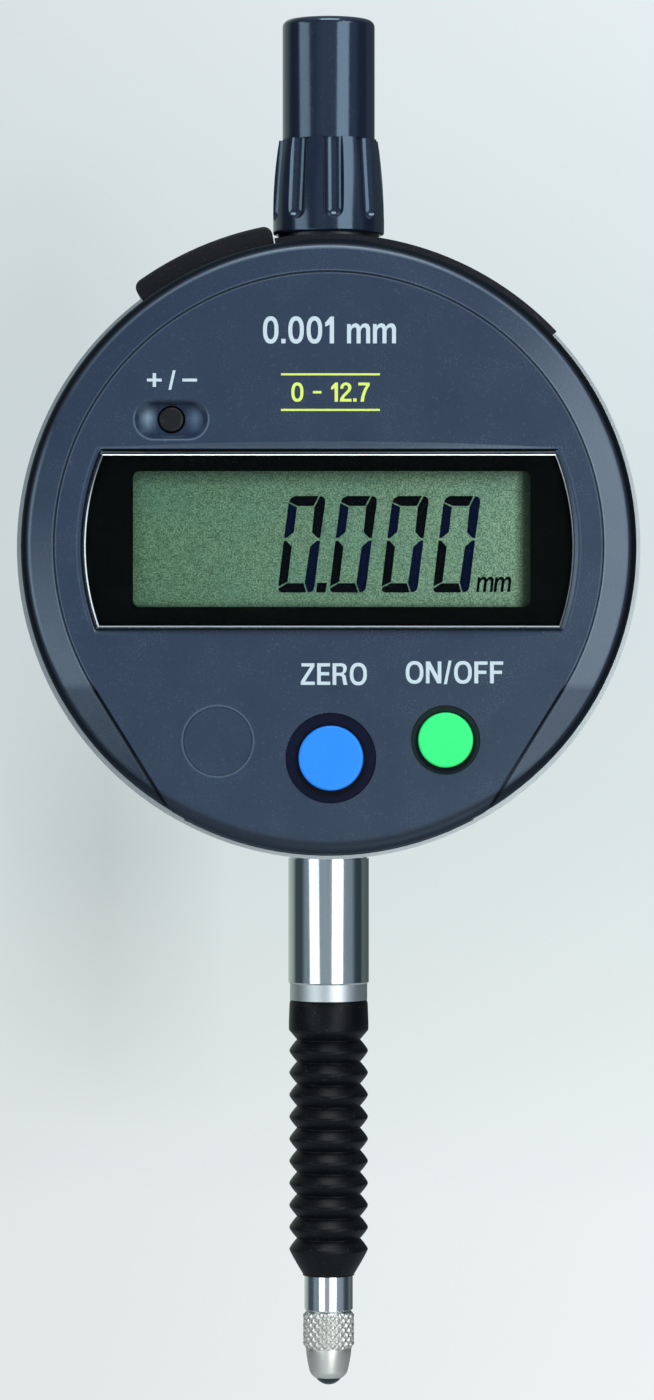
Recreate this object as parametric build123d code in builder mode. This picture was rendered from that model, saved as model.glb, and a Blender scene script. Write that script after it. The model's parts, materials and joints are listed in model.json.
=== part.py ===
from build123d import *
from math import cos, radians, sin, sqrt
import os

os.makedirs("parts", exist_ok=True)

# Digital plunger indicator, in millimetres.
# X is to the right, Y to the back and Z up. The spindle runs along Z through X = 0, Y = 0.
# The origin is the middle of the stem's clamping length, and the display faces -Y.

# Fits
slide_gap = 0.03
fit_gap = 0.02
loose_gap = 0.3

# Stem and round body
stem_diameter = 8.0
stem_length = 12.8
stem_bore = 6.1
stem_seat = 7.0
stem_shoulder = 0.2
stem_shoulder_drop = 0.1
stem_lap = 0.3
body_radius = 30.65
rim_wall = 2.2
rim_depth = 12.0
rim_front = 5.5
web_thickness = 1.2
boss_width = 9.6
boss_depth = 11.0
boss_height = 8.0

# Front cover
cover_step = 0.7
cover_depth = 7.0
cover_wall = 1.8
cover_spigot_wall = 0.55
cover_spigot_length = 1.5
cover_spigot_root = 1.0
cover_spigot_notch = 1.0
edge_round = 0.85
edge_band_depth = 1.2
edge_belly = 0.15
edge_slope_width = 2.45
edge_slope_drop = 0.6
groove_width = 0.16
groove_depth = 0.25
chin_top_angle = 29.0
chin_foot_angle = 59.5
chin_lip_angle = 28.0
chin_lip_height = 0.25
chin_lip_depth = 2.5

# Window and display
window_inset = 6.1
window_top = 9.0
window_bottom = 8.0
window_sink = 0.2
window_chamfer_side = 0.35
window_chamfer_edge = 0.55
window_bow = 0.6
lens_thickness = 1.0
lens_corner = 0.3
view_side_border = 2.79
view_height = 13.4
view_corner = 0.65
view_x = 0.3
view_up = 0.6
view_margin = 0.6
display_border = 1.1
display_ledge = 1.2
display_thickness = 2.0
display_gap = 0.4
display_frame_wall = 1.4
contact_strip_height = 1.6

# Circuit board
board_margin = 0.1
board_hole_gap = 0.1
board_thickness = 1.0
board_inset = 1.4
board_screw_inset = 2.88
board_screw_angles = (55, 125, 215, 325)
board_boss_radius = 2.0
board_screw_radius = 0.8
board_screw_head_radius = 1.5
board_screw_head = 0.9
board_screw_length = 3.0
chip_size = 7.0
chip_height = 1.0
chip_place = (15.0, 6.0)
crystal_length = 5.0
crystal_width = 2.4
crystal_height = 1.6
crystal_place = (13.0, -6.0)

# Buttons
button_travel = 0.5
button_proud = 0.45
button_flange = 0.8
button_flange_thickness = 0.6
button_post_radius = 1.0
button_crown = 0.25
seal_sink = 0.15
seal_depth = 1.0
zero_angle = -89.4
zero_inset = 9.4
zero_radius = 3.15
zero_ring_radius = 4.38
power_angle = -58.9
power_inset = 8.0
power_radius = 2.67
power_ring_radius = 3.35
blank_angle = -119.6
blank_inset = 8.2
blank_radius = 3.41
sign_across = 15.26
sign_above_window = 3.29
sign_radius = 1.22
sign_gap = 0.14
sign_recess_length = 7.2
sign_recess_height = 3.9
sign_recess_depth = 0.55
sign_sink = 0.35
sign_flange = 0.4
sign_post_radius = 0.8
dome_radius = 1.9
dome_height = 0.6
dome_gap = 0.1
dome_round = 0.35

# Dark saddle over the top of the rim
saddle_lift = 0.25
saddle_thickness = 0.95
saddle_start_angle = 43.5
saddle_end_angle = 127.0
saddle_corner = 0.4
saddle_seat_drop = 0.6
saddle_seat_gap = 0.2

# Output socket and its rubber cover
socket_angle = 113.5
socket_length = 10.0
socket_width = 5.4
socket_height = 5.2
pocket_length = 8.6
pocket_width = 3.6
pocket_depth = 3.9
pin_count = 5
pin_pitch = 1.5
pin_radius = 0.25
pin_height = 2.0
pin_tail = 0.8
plug_cover_height = 1.85
plug_cover_angle = 26.7
plug_cover_width = 10.4
plug_cover_corner = 0.9
plug_cover_round = 0.3
plug_gap = 0.15
plug_depth = 1.6
plug_root = 0.5

# Neck, cap and upper bush
neck_sink = 0.45
neck_radius = 5.0
neck_height = 0.7
cap_height = 21.35
cap_radius = 4.58
cap_step_height = 9.4
cap_step_radius = 4.92
cap_foot_radius = 5.52
cap_round = 0.7
cap_foot_height = 2.0
cap_foot_round = 0.25
cap_wall = 1.1
cap_thread_clearance = 0.3
cap_bore_radius = 3.0
flute_count = 9
flute_radius = 1.15
flute_depth = 0.7
flute_foot = 1.2
flute_phase = 5.0
spigot_radius = 3.3
spigot_height = 4.1
upper_bush_radius = 3.6

# Spindle, lower bush and contact point
spindle_diameter = 4.8
spindle_foot = 39.0
spindle_head = 5.2
spindle_travel = 12.7
lower_flange_radius = 3.84
lower_flange_height = 1.65
lower_bush_length = 9.4
boot_spigot_radius = 3.3
boot_spigot_length = 2.4
point_length = 7.3
point_knurl_radius = 2.53
point_knurl_length = 3.6
point_tip_radius = 1.65
point_tip_land = 0.75
point_thread_radius = 1.25
point_thread_length = 5.0
point_hole_spare = 0.5
point_belly = 0.12
spindle_chamfer = 0.25
stem_chamfer = 0.15
ball_radius = 1.5

# Rubber boot
boot_collar_radius = 3.98
boot_collar_length = 3.1
boot_neck_drop = 0.85
boot_peak_radius = 3.9
boot_valley_radius = 3.18
boot_wall = 0.35
boot_folds = 10
boot_pitch = 2.195
boot_end_length = 2.2
boot_end_radius = 2.62
boot_lip = 0.35
boot_lip_root = 0.25

# Mechanism
carrier_width = 9.2
carrier_height = 8.0
carrier_top = 1.0
carrier_screw_radius = 1.0
strip_width = 7.6
strip_length = 24.0
strip_overhang = 7.0
strip_thickness = 1.0
strip_gap = 0.5
guide_pin_radius = 0.75
guide_pin_seat = 1.4
guide_pin_drop = 4.0
guide_pin_spare = 0.2
rail_width = 4.4
rail_thickness = 1.0
rail_end = 1.2
spring_mean_radius = 3.25
spring_wire_radius = 0.2
spring_turns = 9
spring_end_gap = 0.05
rail_slot_spare = 0.5

# Battery
battery_radius = 5.8
battery_thickness = 5.4
battery_side_gap = 0.6
battery_drop = 8.0
battery_cap_radius = 4.7
battery_cap_height = 0.6
battery_recess = 0.6
battery_gap = 0.05
holder_wall = 0.95
holder_floor = 0.8
holder_flange = 0.9
contact_leaf = 0.3
contact_leaf_radius = 3.0
contact_post_radius = 0.6
contact_side_width = 2.0
door_seal_height = 0.6
door_radius = 6.6
door_plug_radius = 5.75
door_plug_depth = 0.3
door_gap = 0.04
door_slot_length = 9.0
door_slot_width = 1.2
door_slot_depth = 0.8

# Back cover
back_step = 0.35
back_thickness = 2.4
back_screw_inset = 2.55
back_screw_angles = (45, 135, 240, 300)
back_screw_radius = 1.0
back_screw_head_radius = 1.9
back_screw_head = 1.2
back_screw_length = 7.0
back_boss_radius = 2.3
back_boss_length = 8.0
gasket_width = 0.6
gasket_thickness = 0.6
gasket_inset = 0.45
back_round = 0.8
back_hole_gap = 0.1
screw_slot_width = 0.45
screw_slot_depth = 0.4
lug_pad_radius = 8.2
lug_pad_height = 1.0
lug_round = 0.6
lug_thickness = 5.0
lug_hole_radius = 3.25
lug_end_radius = 6.5
lug_reach = 7.0

# Radii of the round pieces
cover_radius = body_radius - cover_step
window_radius = cover_radius - window_inset
saddle_radius = body_radius + saddle_lift
back_radius = body_radius - back_step

# Heights and depths that follow from the sizes
body_z = stem_length / 2 + body_radius - stem_lap
rim_front_y = -rim_front
rim_back_y = rim_front_y + rim_depth
web_front_y = rim_back_y - web_thickness
rim_inner = body_radius - rim_wall
panel_y = rim_front_y - cover_depth
cover_inner_y = panel_y + cover_wall
cover_inner = cover_radius - cover_wall
lens_front_y = panel_y + window_sink
lens_back_y = lens_front_y + lens_thickness
display_front_y = cover_inner_y + display_gap
display_back_y = display_front_y + display_thickness
board_front_y = rim_front_y - board_inset
board_back_y = board_front_y + board_thickness
strip_front_y = board_back_y + strip_gap
strip_back_y = strip_front_y + strip_thickness
rail_front_y = web_front_y - rail_thickness
carrier_back_y = rail_front_y - loose_gap
back_y = rim_back_y + back_thickness
groove_radius = cover_radius - edge_round - edge_slope_width
crease_radius = cover_radius - edge_round
crease_y = panel_y + edge_slope_drop
stem_radius = stem_diameter / 2
stem_shank_radius = stem_radius - stem_shoulder
spindle_radius = spindle_diameter / 2
stem_bottom = -stem_length / 2
body_bottom = body_z - body_radius
shoulder_z = body_bottom - stem_shoulder_drop
stem_top = body_bottom + stem_seat
lower_boss_top = body_bottom + boss_height
upper_boss_bottom = body_z + body_radius - boss_height
neck_z = body_z + saddle_radius - neck_sink
cap_bottom = neck_z + neck_height
cap_top = cap_bottom + cap_height
cap_step_z = cap_bottom + cap_step_height
carrier_z = body_z - carrier_top
boot_top = stem_bottom - lower_flange_height
bush_bore = spindle_radius + slide_gap
spindle_bottom = -spindle_foot
point_bottom = spindle_bottom - point_length
rim_mid_y = (rim_front_y + rim_back_y) / 2
cover_seat_radius = saddle_radius - saddle_seat_drop
cover_spigot_outer = rim_inner - fit_gap
cover_spigot_inner = cover_spigot_outer - cover_spigot_wall
gasket_inner = rim_inner + gasket_inset
gasket_outer = gasket_inner + gasket_width
holder_inner = battery_radius + battery_gap
holder_outer = holder_inner + holder_wall
battery_back_y = rim_back_y - battery_recess
battery_front_y = battery_back_y - battery_thickness
leaf_front_y = battery_front_y - contact_leaf
holder_front_y = leaf_front_y - holder_floor
battery_across = carrier_width / 2 + battery_side_gap + holder_flange + holder_outer
battery_place = (-battery_across, -battery_drop)
body_axis = Axis((0, 0, body_z), (0, 1, 0))


def facing(y):
    """Plane parallel to the panel at depth y, with its origin on the body's axis."""
    return Plane(origin=(0, y, body_z), x_dir=(1, 0, 0), z_dir=(0, -1, 0))


def radial(angle, radius):
    """Plane square to a radius of the body: its x runs along Y and its y round the rim."""
    way = Vector(cos(radians(angle)), 0, sin(radians(angle)))
    return Plane(origin=Vector(0, rim_mid_y, body_z) + way * radius, x_dir=(0, 1, 0), z_dir=way)


def on_circle(radius, angle):
    """Point of a circle about the origin, with the angle in degrees."""
    return (radius * cos(radians(angle)), radius * sin(radians(angle)))


def ring_sector(inner, outer, start, end):
    """Flat sector of a ring about the origin, between two angles in degrees."""
    with BuildSketch() as sector:
        with BuildLine():
            CenterArc((0, 0), inner, start, end - start)
            CenterArc((0, 0), outer, start, end - start)
            Line(on_circle(inner, start), on_circle(outer, start))
            Line(on_circle(inner, end), on_circle(outer, end))
        make_face()
    return sector.sketch


def window_edge(start, end, bow):
    """Level edge between two points, straight or bowed up or down at its middle."""
    if bow:
        return ThreePointArc(start, (0, start[1] + bow), end)
    return Line(start, end)


def window_shape(radius, top, bottom, corner, bow=0.0):
    """Window outline: side arcs about the body's axis, and top and bottom edges that may bow out."""
    top_x = sqrt(radius ** 2 - top ** 2)
    bottom_x = sqrt(radius ** 2 - bottom ** 2)
    with BuildSketch() as outline:
        with BuildLine():
            ThreePointArc((top_x, top), (radius, 0), (bottom_x, -bottom))
            window_edge((bottom_x, -bottom), (-bottom_x, -bottom), -bow)
            ThreePointArc((-bottom_x, -bottom), (-radius, 0), (-top_x, top))
            window_edge((-top_x, top), (top_x, top), bow)
        make_face()
        fillet(outline.vertices(), corner)
    return outline.sketch


def chin_line_points():
    """Upper and lower end of the right-hand straight groove line."""
    return on_circle(groove_radius, -chin_top_angle), on_circle(cover_radius, -chin_foot_angle)


def chin_region():
    """Area of the panel that runs flat to the rim between the two straight groove lines."""
    top, foot = chin_line_points()
    below = -2 * cover_radius
    right_side = [top, foot, (foot[0], below)]
    left_side = [(-x, y) for x, y in reversed(right_side)]
    with BuildSketch() as region:
        with BuildLine():
            Polyline(*right_side, *left_side, close=True)
        make_face()
    return region.sketch


# Front cover

chin_area = chin_region()
view_width = 2 * (sqrt(window_radius ** 2 - window_top ** 2) - view_side_border)
zero_place = on_circle(cover_radius - zero_inset, zero_angle)
power_place = on_circle(cover_radius - power_inset, power_angle)
blank_place = on_circle(cover_radius - blank_inset, blank_angle)
sign_place = (-sign_across, window_top + sign_above_window)
board_screw_ring = cover_spigot_inner - board_screw_inset

with BuildPart() as chin:
    with BuildSketch(Plane.XY.offset(body_z)):
        with BuildLine():
            Line((0, cover_inner_y), (0, panel_y))
            Line((0, panel_y), (crease_radius, panel_y))
            CenterArc((crease_radius, panel_y + edge_round), edge_round, 270, 90)
            Line((cover_radius, panel_y + edge_round), (cover_radius, cover_inner_y))
            Line((cover_radius, cover_inner_y), (0, cover_inner_y))
        make_face()
    revolve(axis=body_axis)
    with BuildSketch(facing(cover_inner_y)):
        add(chin_area)
    extrude(amount=cover_wall, mode=Mode.INTERSECT)

lens_pocket = window_shape(
    window_radius + fit_gap, window_top + fit_gap, window_bottom + fit_gap, lens_corner + fit_gap
)
window_mouth = window_shape(
    window_radius + window_chamfer_side,
    window_top + window_chamfer_edge,
    window_bottom + window_chamfer_edge,
    lens_corner + window_chamfer_side,
    window_bow,
)
chin_lip_shape = ring_sector(
    crease_radius, cover_radius + chin_lip_height, -90 - chin_lip_angle, -90 + chin_lip_angle
)
button_holes = ((zero_place, zero_radius), (power_place, power_radius))
ring_holes = ((zero_place, zero_ring_radius), (power_place, power_ring_radius))
board_screw_points = [on_circle(board_screw_ring, angle) for angle in board_screw_angles]

with BuildPart() as front_cover:
    with BuildSketch(Plane.XY.offset(body_z)):
        with BuildLine():
            Line((0, cover_inner_y), (0, panel_y))
            Line((0, panel_y), (groove_radius, panel_y))
            Line((groove_radius, panel_y), (crease_radius, crease_y))
            ThreePointArc(
                (crease_radius, crease_y),
                (crease_radius + edge_round / 2 + edge_belly, crease_y + edge_band_depth / 2 - edge_belly),
                (cover_radius, crease_y + edge_band_depth),
            )
            Line((cover_radius, crease_y + edge_band_depth), (cover_radius, rim_front_y))
            Line((cover_radius, rim_front_y), (cover_inner, rim_front_y))
            Line((cover_inner, rim_front_y), (cover_inner, cover_inner_y))
            Line((cover_inner, cover_inner_y), (0, cover_inner_y))
        make_face()
    revolve(axis=body_axis)
    add(chin.part)
    # Low lip at the bottom of the edge
    with BuildSketch(facing(rim_front_y)):
        add(chin_lip_shape)
    extrude(amount=chin_lip_depth)
    # Spigot that presses into the rim
    with BuildSketch(facing(rim_front_y + cover_spigot_length)):
        Circle(cover_spigot_outer)
        Circle(cover_spigot_inner, mode=Mode.SUBTRACT)
    extrude(amount=cover_spigot_length + cover_spigot_root)
    # Notches in the spigot for the bosses of the rim
    with BuildSketch(facing(rim_front_y + cover_spigot_length)):
        Rectangle(boss_width + cover_spigot_notch, 2 * cover_spigot_outer)
    extrude(amount=cover_spigot_length, mode=Mode.SUBTRACT)
    # Bosses for the board's screws
    with BuildSketch(facing(board_front_y)):
        with Locations(*board_screw_points):
            Circle(board_boss_radius)
    extrude(amount=board_front_y - cover_inner_y)
    with BuildSketch(facing(board_front_y)):
        with Locations(*board_screw_points):
            Circle(board_screw_radius)
    extrude(amount=board_screw_length, mode=Mode.SUBTRACT)
    # Window: chamfered mouth, pocket for the lens and the opening behind it
    with BuildSketch(facing(lens_front_y)):
        add(lens_pocket)
    with BuildSketch(facing(panel_y)):
        add(window_mouth)
    loft(mode=Mode.SUBTRACT)
    with BuildSketch(facing(lens_back_y)):
        add(lens_pocket)
    extrude(amount=lens_thickness, mode=Mode.SUBTRACT)
    with BuildSketch(facing(cover_inner_y)):
        with Locations((view_x, view_up)):
            RectangleRounded(view_width + 2 * view_margin, view_height + 2 * view_margin, view_corner)
    extrude(amount=cover_wall, mode=Mode.SUBTRACT)
    # Holes of the buttons, with a seat for each ring
    with BuildSketch(facing(cover_inner_y)):
        for place, radius in button_holes:
            with Locations(place):
                Circle(radius + slide_gap)
        with Locations(sign_place):
            Circle(sign_radius + sign_gap)
    extrude(amount=cover_wall, mode=Mode.SUBTRACT)
    with BuildSketch(facing(panel_y)):
        for place, radius in ring_holes:
            with Locations(place):
                Circle(radius + fit_gap)
    extrude(amount=-(seal_sink + seal_depth), mode=Mode.SUBTRACT)
    # Long dished recess round the sign button
    with BuildSketch(facing(panel_y + sign_recess_depth)):
        with Locations(sign_place):
            SlotOverall(sign_recess_length - 2 * sign_recess_depth, sign_recess_height - 2 * sign_recess_depth)
    with BuildSketch(facing(panel_y)):
        with Locations(sign_place):
            SlotOverall(sign_recess_length, sign_recess_height)
    loft(mode=Mode.SUBTRACT)
    # Fine groove round the panel and down to its chin, and the ring of the unused place
    with BuildSketch(facing(panel_y)):
        with BuildLine() as groove_path:
            chin_points = chin_line_points()
            CenterArc((0, 0), groove_radius, -chin_top_angle, 180 + 2 * chin_top_angle)
            Line(chin_points[0], chin_points[1])
            Line((-chin_points[0][0], chin_points[0][1]), (-chin_points[1][0], chin_points[1][1]))
        trace(groove_path.line, line_width=groove_width)
        with Locations(blank_place):
            Circle(blank_radius)
            Circle(blank_radius - groove_width, mode=Mode.SUBTRACT)
    extrude(amount=-groove_depth, mode=Mode.SUBTRACT)

front_cover.part.label = "front_cover"
export_step(front_cover.part, "parts/front_cover.step")

# Lens and display

with BuildPart() as window_lens:
    with BuildSketch(facing(lens_back_y)):
        add(window_shape(window_radius, window_top, window_bottom, lens_corner))
    extrude(amount=lens_thickness)
window_lens.part.label = "window_lens"
export_step(window_lens.part, "parts/window_lens.step")

display_width = view_width + 2 * display_border
display_height = view_height + 2 * display_border
display_place = (view_x, view_up)

with BuildPart() as lcd_panel:
    with BuildSketch(facing(display_back_y)):
        with Locations(display_place):
            Rectangle(display_width, display_height)
    extrude(amount=display_thickness)
lcd_panel.part.label = "lcd_panel"
export_step(lcd_panel.part, "parts/lcd_panel.step")

frame_hole_width = display_width + 2 * fit_gap
frame_hole_height = display_height + 2 * fit_gap

with BuildPart() as lcd_frame:
    with BuildSketch(facing(board_front_y)):
        with Locations(display_place):
            Rectangle(frame_hole_width + 2 * display_frame_wall, frame_hole_height + 2 * display_frame_wall)
            Rectangle(frame_hole_width, frame_hole_height, mode=Mode.SUBTRACT)
    extrude(amount=board_front_y - cover_inner_y)
    with BuildSketch(facing(board_front_y)):
        for side in (-1, 1):
            with Locations((view_x + side * (frame_hole_width - display_ledge) / 2, view_up)):
                Rectangle(display_ledge, frame_hole_height)
    extrude(amount=board_front_y - display_back_y)
lcd_frame.part.label = "lcd_frame"
export_step(lcd_frame.part, "parts/lcd_frame.step")

for name, side in (("contact_strip_upper", 1), ("contact_strip_lower", -1)):
    with BuildPart() as contact_strip:
        with BuildSketch(facing(board_front_y)):
            with Locations((view_x, view_up + side * (display_height - contact_strip_height) / 2)):
                Rectangle(frame_hole_width - 2 * display_ledge - 2 * fit_gap, contact_strip_height)
        extrude(amount=board_front_y - display_back_y)
    contact_strip.part.label = name
    export_step(contact_strip.part, f"parts/{name}.step")

# Circuit board with its chip, crystal and screws

with BuildPart() as circuit_board:
    with BuildSketch(facing(board_back_y)):
        Circle(cover_spigot_inner - board_margin)
        with Locations(*board_screw_points):
            Circle(board_screw_radius + board_hole_gap, mode=Mode.SUBTRACT)
    extrude(amount=board_thickness)
circuit_board.part.label = "circuit_board"
export_step(circuit_board.part, "parts/circuit_board.step")

with BuildPart() as processor_chip:
    with BuildSketch(facing(board_back_y)):
        with Locations(chip_place):
            Rectangle(chip_size, chip_size)
    extrude(amount=-chip_height)
processor_chip.part.label = "processor_chip"
export_step(processor_chip.part, "parts/processor_chip.step")

with BuildPart() as crystal_can:
    with BuildSketch(facing(board_back_y)):
        with Locations(crystal_place):
            SlotOverall(crystal_length, crystal_width)
    extrude(amount=-crystal_height)
crystal_can.part.label = "crystal_can"
export_step(crystal_can.part, "parts/crystal_can.step")

with BuildPart() as board_screws:
    with BuildSketch(facing(board_back_y)):
        with Locations(*board_screw_points):
            Circle(board_screw_radius - fit_gap)
    extrude(amount=board_thickness + board_screw_length - loose_gap)
    with BuildSketch(facing(board_back_y + board_screw_head)):
        with Locations(*board_screw_points):
            Circle(board_screw_head_radius)
    extrude(amount=board_screw_head)
    with BuildSketch(facing(board_back_y + board_screw_head)):
        with Locations(*board_screw_points):
            Rectangle(2 * board_screw_head_radius, screw_slot_width)
    extrude(amount=screw_slot_depth, mode=Mode.SUBTRACT)
board_screws.part.label = "board_screws"
export_step(board_screws.part, "parts/board_screws.step")

# Buttons, their rings and their switch domes

flange_front_y = cover_inner_y + loose_gap
flange_back_y = flange_front_y + button_flange_thickness
dome_front_y = board_front_y - dome_height
button_tip_y = dome_front_y - dome_gap - button_travel
raised_y = panel_y - button_proud
sunk_y = panel_y + sign_sink
buttons = {
    "zero_button": (zero_place, zero_radius, button_flange, button_post_radius, raised_y),
    "power_button": (power_place, power_radius, button_flange, button_post_radius, raised_y),
    "sign_button": (sign_place, sign_radius, sign_flange, sign_post_radius, sunk_y),
}
for name, (place, radius, flange, post_radius, front_y) in buttons.items():
    with BuildPart() as button:
        with BuildSketch(facing(button_tip_y)):
            with Locations(place):
                Circle(post_radius)
        extrude(amount=button_tip_y - flange_back_y)
        with BuildSketch(facing(flange_back_y)):
            with Locations(place):
                Circle(radius + flange)
        extrude(amount=button_flange_thickness)
        with BuildSketch(facing(flange_front_y)):
            with Locations(place):
                Circle(radius)
        extrude(amount=flange_front_y - front_y)
        fillet(button.faces().sort_by(Axis.Y)[0].edges(), button_crown)
    button.part.label = name
    export_step(button.part, f"parts/{name}.step")

rings = {
    "zero_button_ring": (zero_place, zero_radius, zero_ring_radius),
    "power_button_ring": (power_place, power_radius, power_ring_radius),
}
for name, (place, inner, outer) in rings.items():
    with BuildPart() as button_ring:
        with BuildSketch(facing(panel_y + seal_sink + seal_depth)):
            with Locations(place):
                Circle(outer)
                Circle(inner + slide_gap, mode=Mode.SUBTRACT)
        extrude(amount=seal_depth)
    button_ring.part.label = name
    export_step(button_ring.part, f"parts/{name}.step")

for name, place in (("zero_dome", zero_place), ("power_dome", power_place), ("sign_dome", sign_place)):
    with BuildPart() as dome:
        with BuildSketch(facing(board_front_y)):
            with Locations(place):
                Circle(dome_radius)
        extrude(amount=dome_height)
        fillet(dome.faces().sort_by(Axis.Y)[0].edges(), dome_round)
    dome.part.label = name
    export_step(dome.part, f"parts/{name}.step")

# Silver frame: rim, web and the bosses of the stem and the upper bush

boss_middle = body_radius - (boss_height + rim_wall / 2) / 2
back_screw_ring = rim_inner - back_screw_inset
back_screw_points = [on_circle(back_screw_ring, angle) for angle in back_screw_angles]
beyond_rim = saddle_radius + rim_wall
saddle_rebate = ring_sector(
    saddle_radius - saddle_thickness - fit_gap, beyond_rim, saddle_start_angle, saddle_end_angle
)
socket_face = sqrt(cover_seat_radius ** 2 - (socket_length / 2) ** 2)
socket_foot = socket_face - socket_height
pocket_floor = socket_face - pocket_depth

with BuildPart() as body_frame:
    with BuildSketch(facing(rim_back_y)):
        Circle(body_radius)
        Circle(rim_inner, mode=Mode.SUBTRACT)
    extrude(amount=rim_depth)
    with BuildSketch(facing(rim_back_y)):
        Circle(rim_inner + rim_wall / 2)
    extrude(amount=web_thickness)
    with BuildSketch(facing(boss_depth / 2)):
        with Locations((0, boss_middle), (0, -boss_middle)):
            Rectangle(boss_width, boss_height - rim_wall / 2)
    extrude(amount=boss_depth)
    with BuildSketch(facing(rim_back_y)):
        with Locations(*back_screw_points):
            Circle(back_boss_radius)
    extrude(amount=back_boss_length)
    with BuildSketch(facing(rim_back_y)):
        with Locations(*back_screw_points):
            Circle(back_screw_radius)
        with Locations(battery_place):
            Circle(holder_outer + fit_gap)
    extrude(amount=back_screw_length, mode=Mode.SUBTRACT)
    # Rebate of the saddle and grooves of the two gaskets
    with BuildSketch(facing(rim_back_y)):
        add(saddle_rebate)
    extrude(amount=rim_depth, mode=Mode.SUBTRACT)
    for groove_y in (rim_front_y + gasket_thickness, rim_back_y):
        with BuildSketch(facing(groove_y)):
            Circle(gasket_outer)
            Circle(gasket_inner, mode=Mode.SUBTRACT)
        extrude(amount=gasket_thickness, mode=Mode.SUBTRACT)
    # Bores of the stem, the spindle and the upper bush, and the seat of the neck
    with BuildSketch(Plane.XY.offset(shoulder_z)):
        Circle(stem_shank_radius + fit_gap)
    extrude(amount=stem_top - shoulder_z, mode=Mode.SUBTRACT)
    with BuildSketch(Plane.XY.offset(stem_top)):
        Circle(spindle_radius + loose_gap)
    extrude(amount=lower_boss_top - stem_top, mode=Mode.SUBTRACT)
    with BuildSketch(Plane.XY.offset(upper_boss_bottom)):
        Circle(upper_bush_radius + fit_gap)
    extrude(amount=neck_z - upper_boss_bottom, mode=Mode.SUBTRACT)
    with BuildSketch(Plane.XY.offset(neck_z)):
        Circle(neck_radius + fit_gap)
    extrude(amount=cap_bottom - neck_z, mode=Mode.SUBTRACT)
    with BuildSketch(radial(socket_angle, socket_foot)):
        Rectangle(socket_width + 2 * fit_gap, socket_length + 2 * fit_gap)
    extrude(amount=2 * socket_height, mode=Mode.SUBTRACT)
body_frame.part.label = "body_frame"
export_step(body_frame.part, "parts/body_frame.step")

for name, groove_y in (("front_gasket", rim_front_y + gasket_thickness), ("back_gasket", rim_back_y)):
    with BuildPart() as gasket:
        with BuildSketch(facing(groove_y)):
            Circle(gasket_outer)
            Circle(gasket_inner, mode=Mode.SUBTRACT)
        extrude(amount=gasket_thickness)
    gasket.part.label = name
    export_step(gasket.part, f"parts/{name}.step")

# Dark saddle over the top of the rim, recessed for the socket's rubber cover

saddle_arc = ring_sector(saddle_radius - saddle_thickness, saddle_radius, saddle_start_angle, saddle_end_angle)
half_angle = plug_cover_angle / 2
seat_arc = ring_sector(
    cover_seat_radius,
    beyond_rim,
    socket_angle - half_angle - saddle_seat_gap,
    socket_angle + half_angle + saddle_seat_gap,
)

with BuildPart() as rim_saddle:
    with BuildSketch(facing(rim_back_y)):
        add(saddle_arc)
    extrude(amount=rim_depth)
    fillet(rim_saddle.edges().filter_by(Axis.Y).group_by(Axis.Z)[0], saddle_corner)
    with BuildSketch(facing(rim_back_y)):
        add(seat_arc)
    extrude(amount=rim_depth, mode=Mode.SUBTRACT)
    with BuildSketch(Plane.XY.offset(neck_z)):
        Circle(neck_radius + fit_gap)
    extrude(amount=cap_bottom - neck_z, mode=Mode.SUBTRACT)
    with BuildSketch(Plane.XY.offset(upper_boss_bottom)):
        Circle(upper_bush_radius + fit_gap)
    extrude(amount=neck_z - upper_boss_bottom, mode=Mode.SUBTRACT)
    with BuildSketch(radial(socket_angle, socket_foot)):
        Rectangle(socket_width + 2 * fit_gap, socket_length + 2 * fit_gap)
    extrude(amount=2 * socket_height, mode=Mode.SUBTRACT)
rim_saddle.part.label = "rim_saddle"
export_step(rim_saddle.part, "parts/rim_saddle.step")

# Output socket, its pins and its rubber cover

with BuildPart() as output_socket:
    with BuildSketch(radial(socket_angle, socket_foot)):
        Rectangle(socket_width, socket_length)
    extrude(amount=socket_height)
    with BuildSketch(radial(socket_angle, pocket_floor)):
        Rectangle(pocket_width, pocket_length)
    extrude(amount=pocket_depth, mode=Mode.SUBTRACT)
    with BuildSketch(radial(socket_angle, socket_foot)):
        with GridLocations(pin_pitch, pin_pitch, 1, pin_count):
            Circle(pin_radius + fit_gap)
    extrude(amount=socket_height - pocket_depth, mode=Mode.SUBTRACT)
output_socket.part.label = "output_socket"
export_step(output_socket.part, "parts/output_socket.step")

with BuildPart() as socket_pins:
    with BuildSketch(radial(socket_angle, socket_foot - pin_tail)):
        with GridLocations(pin_pitch, pin_pitch, 1, pin_count):
            Circle(pin_radius)
    extrude(amount=pin_tail + socket_height - pocket_depth + pin_height)
socket_pins.part.label = "socket_pins"
export_step(socket_pins.part, "parts/socket_pins.step")

plug_cover_inner = cover_seat_radius + plug_gap
plug_cover_arc = ring_sector(
    plug_cover_inner,
    plug_cover_inner + plug_cover_height,
    socket_angle - half_angle,
    socket_angle + half_angle,
)

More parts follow.
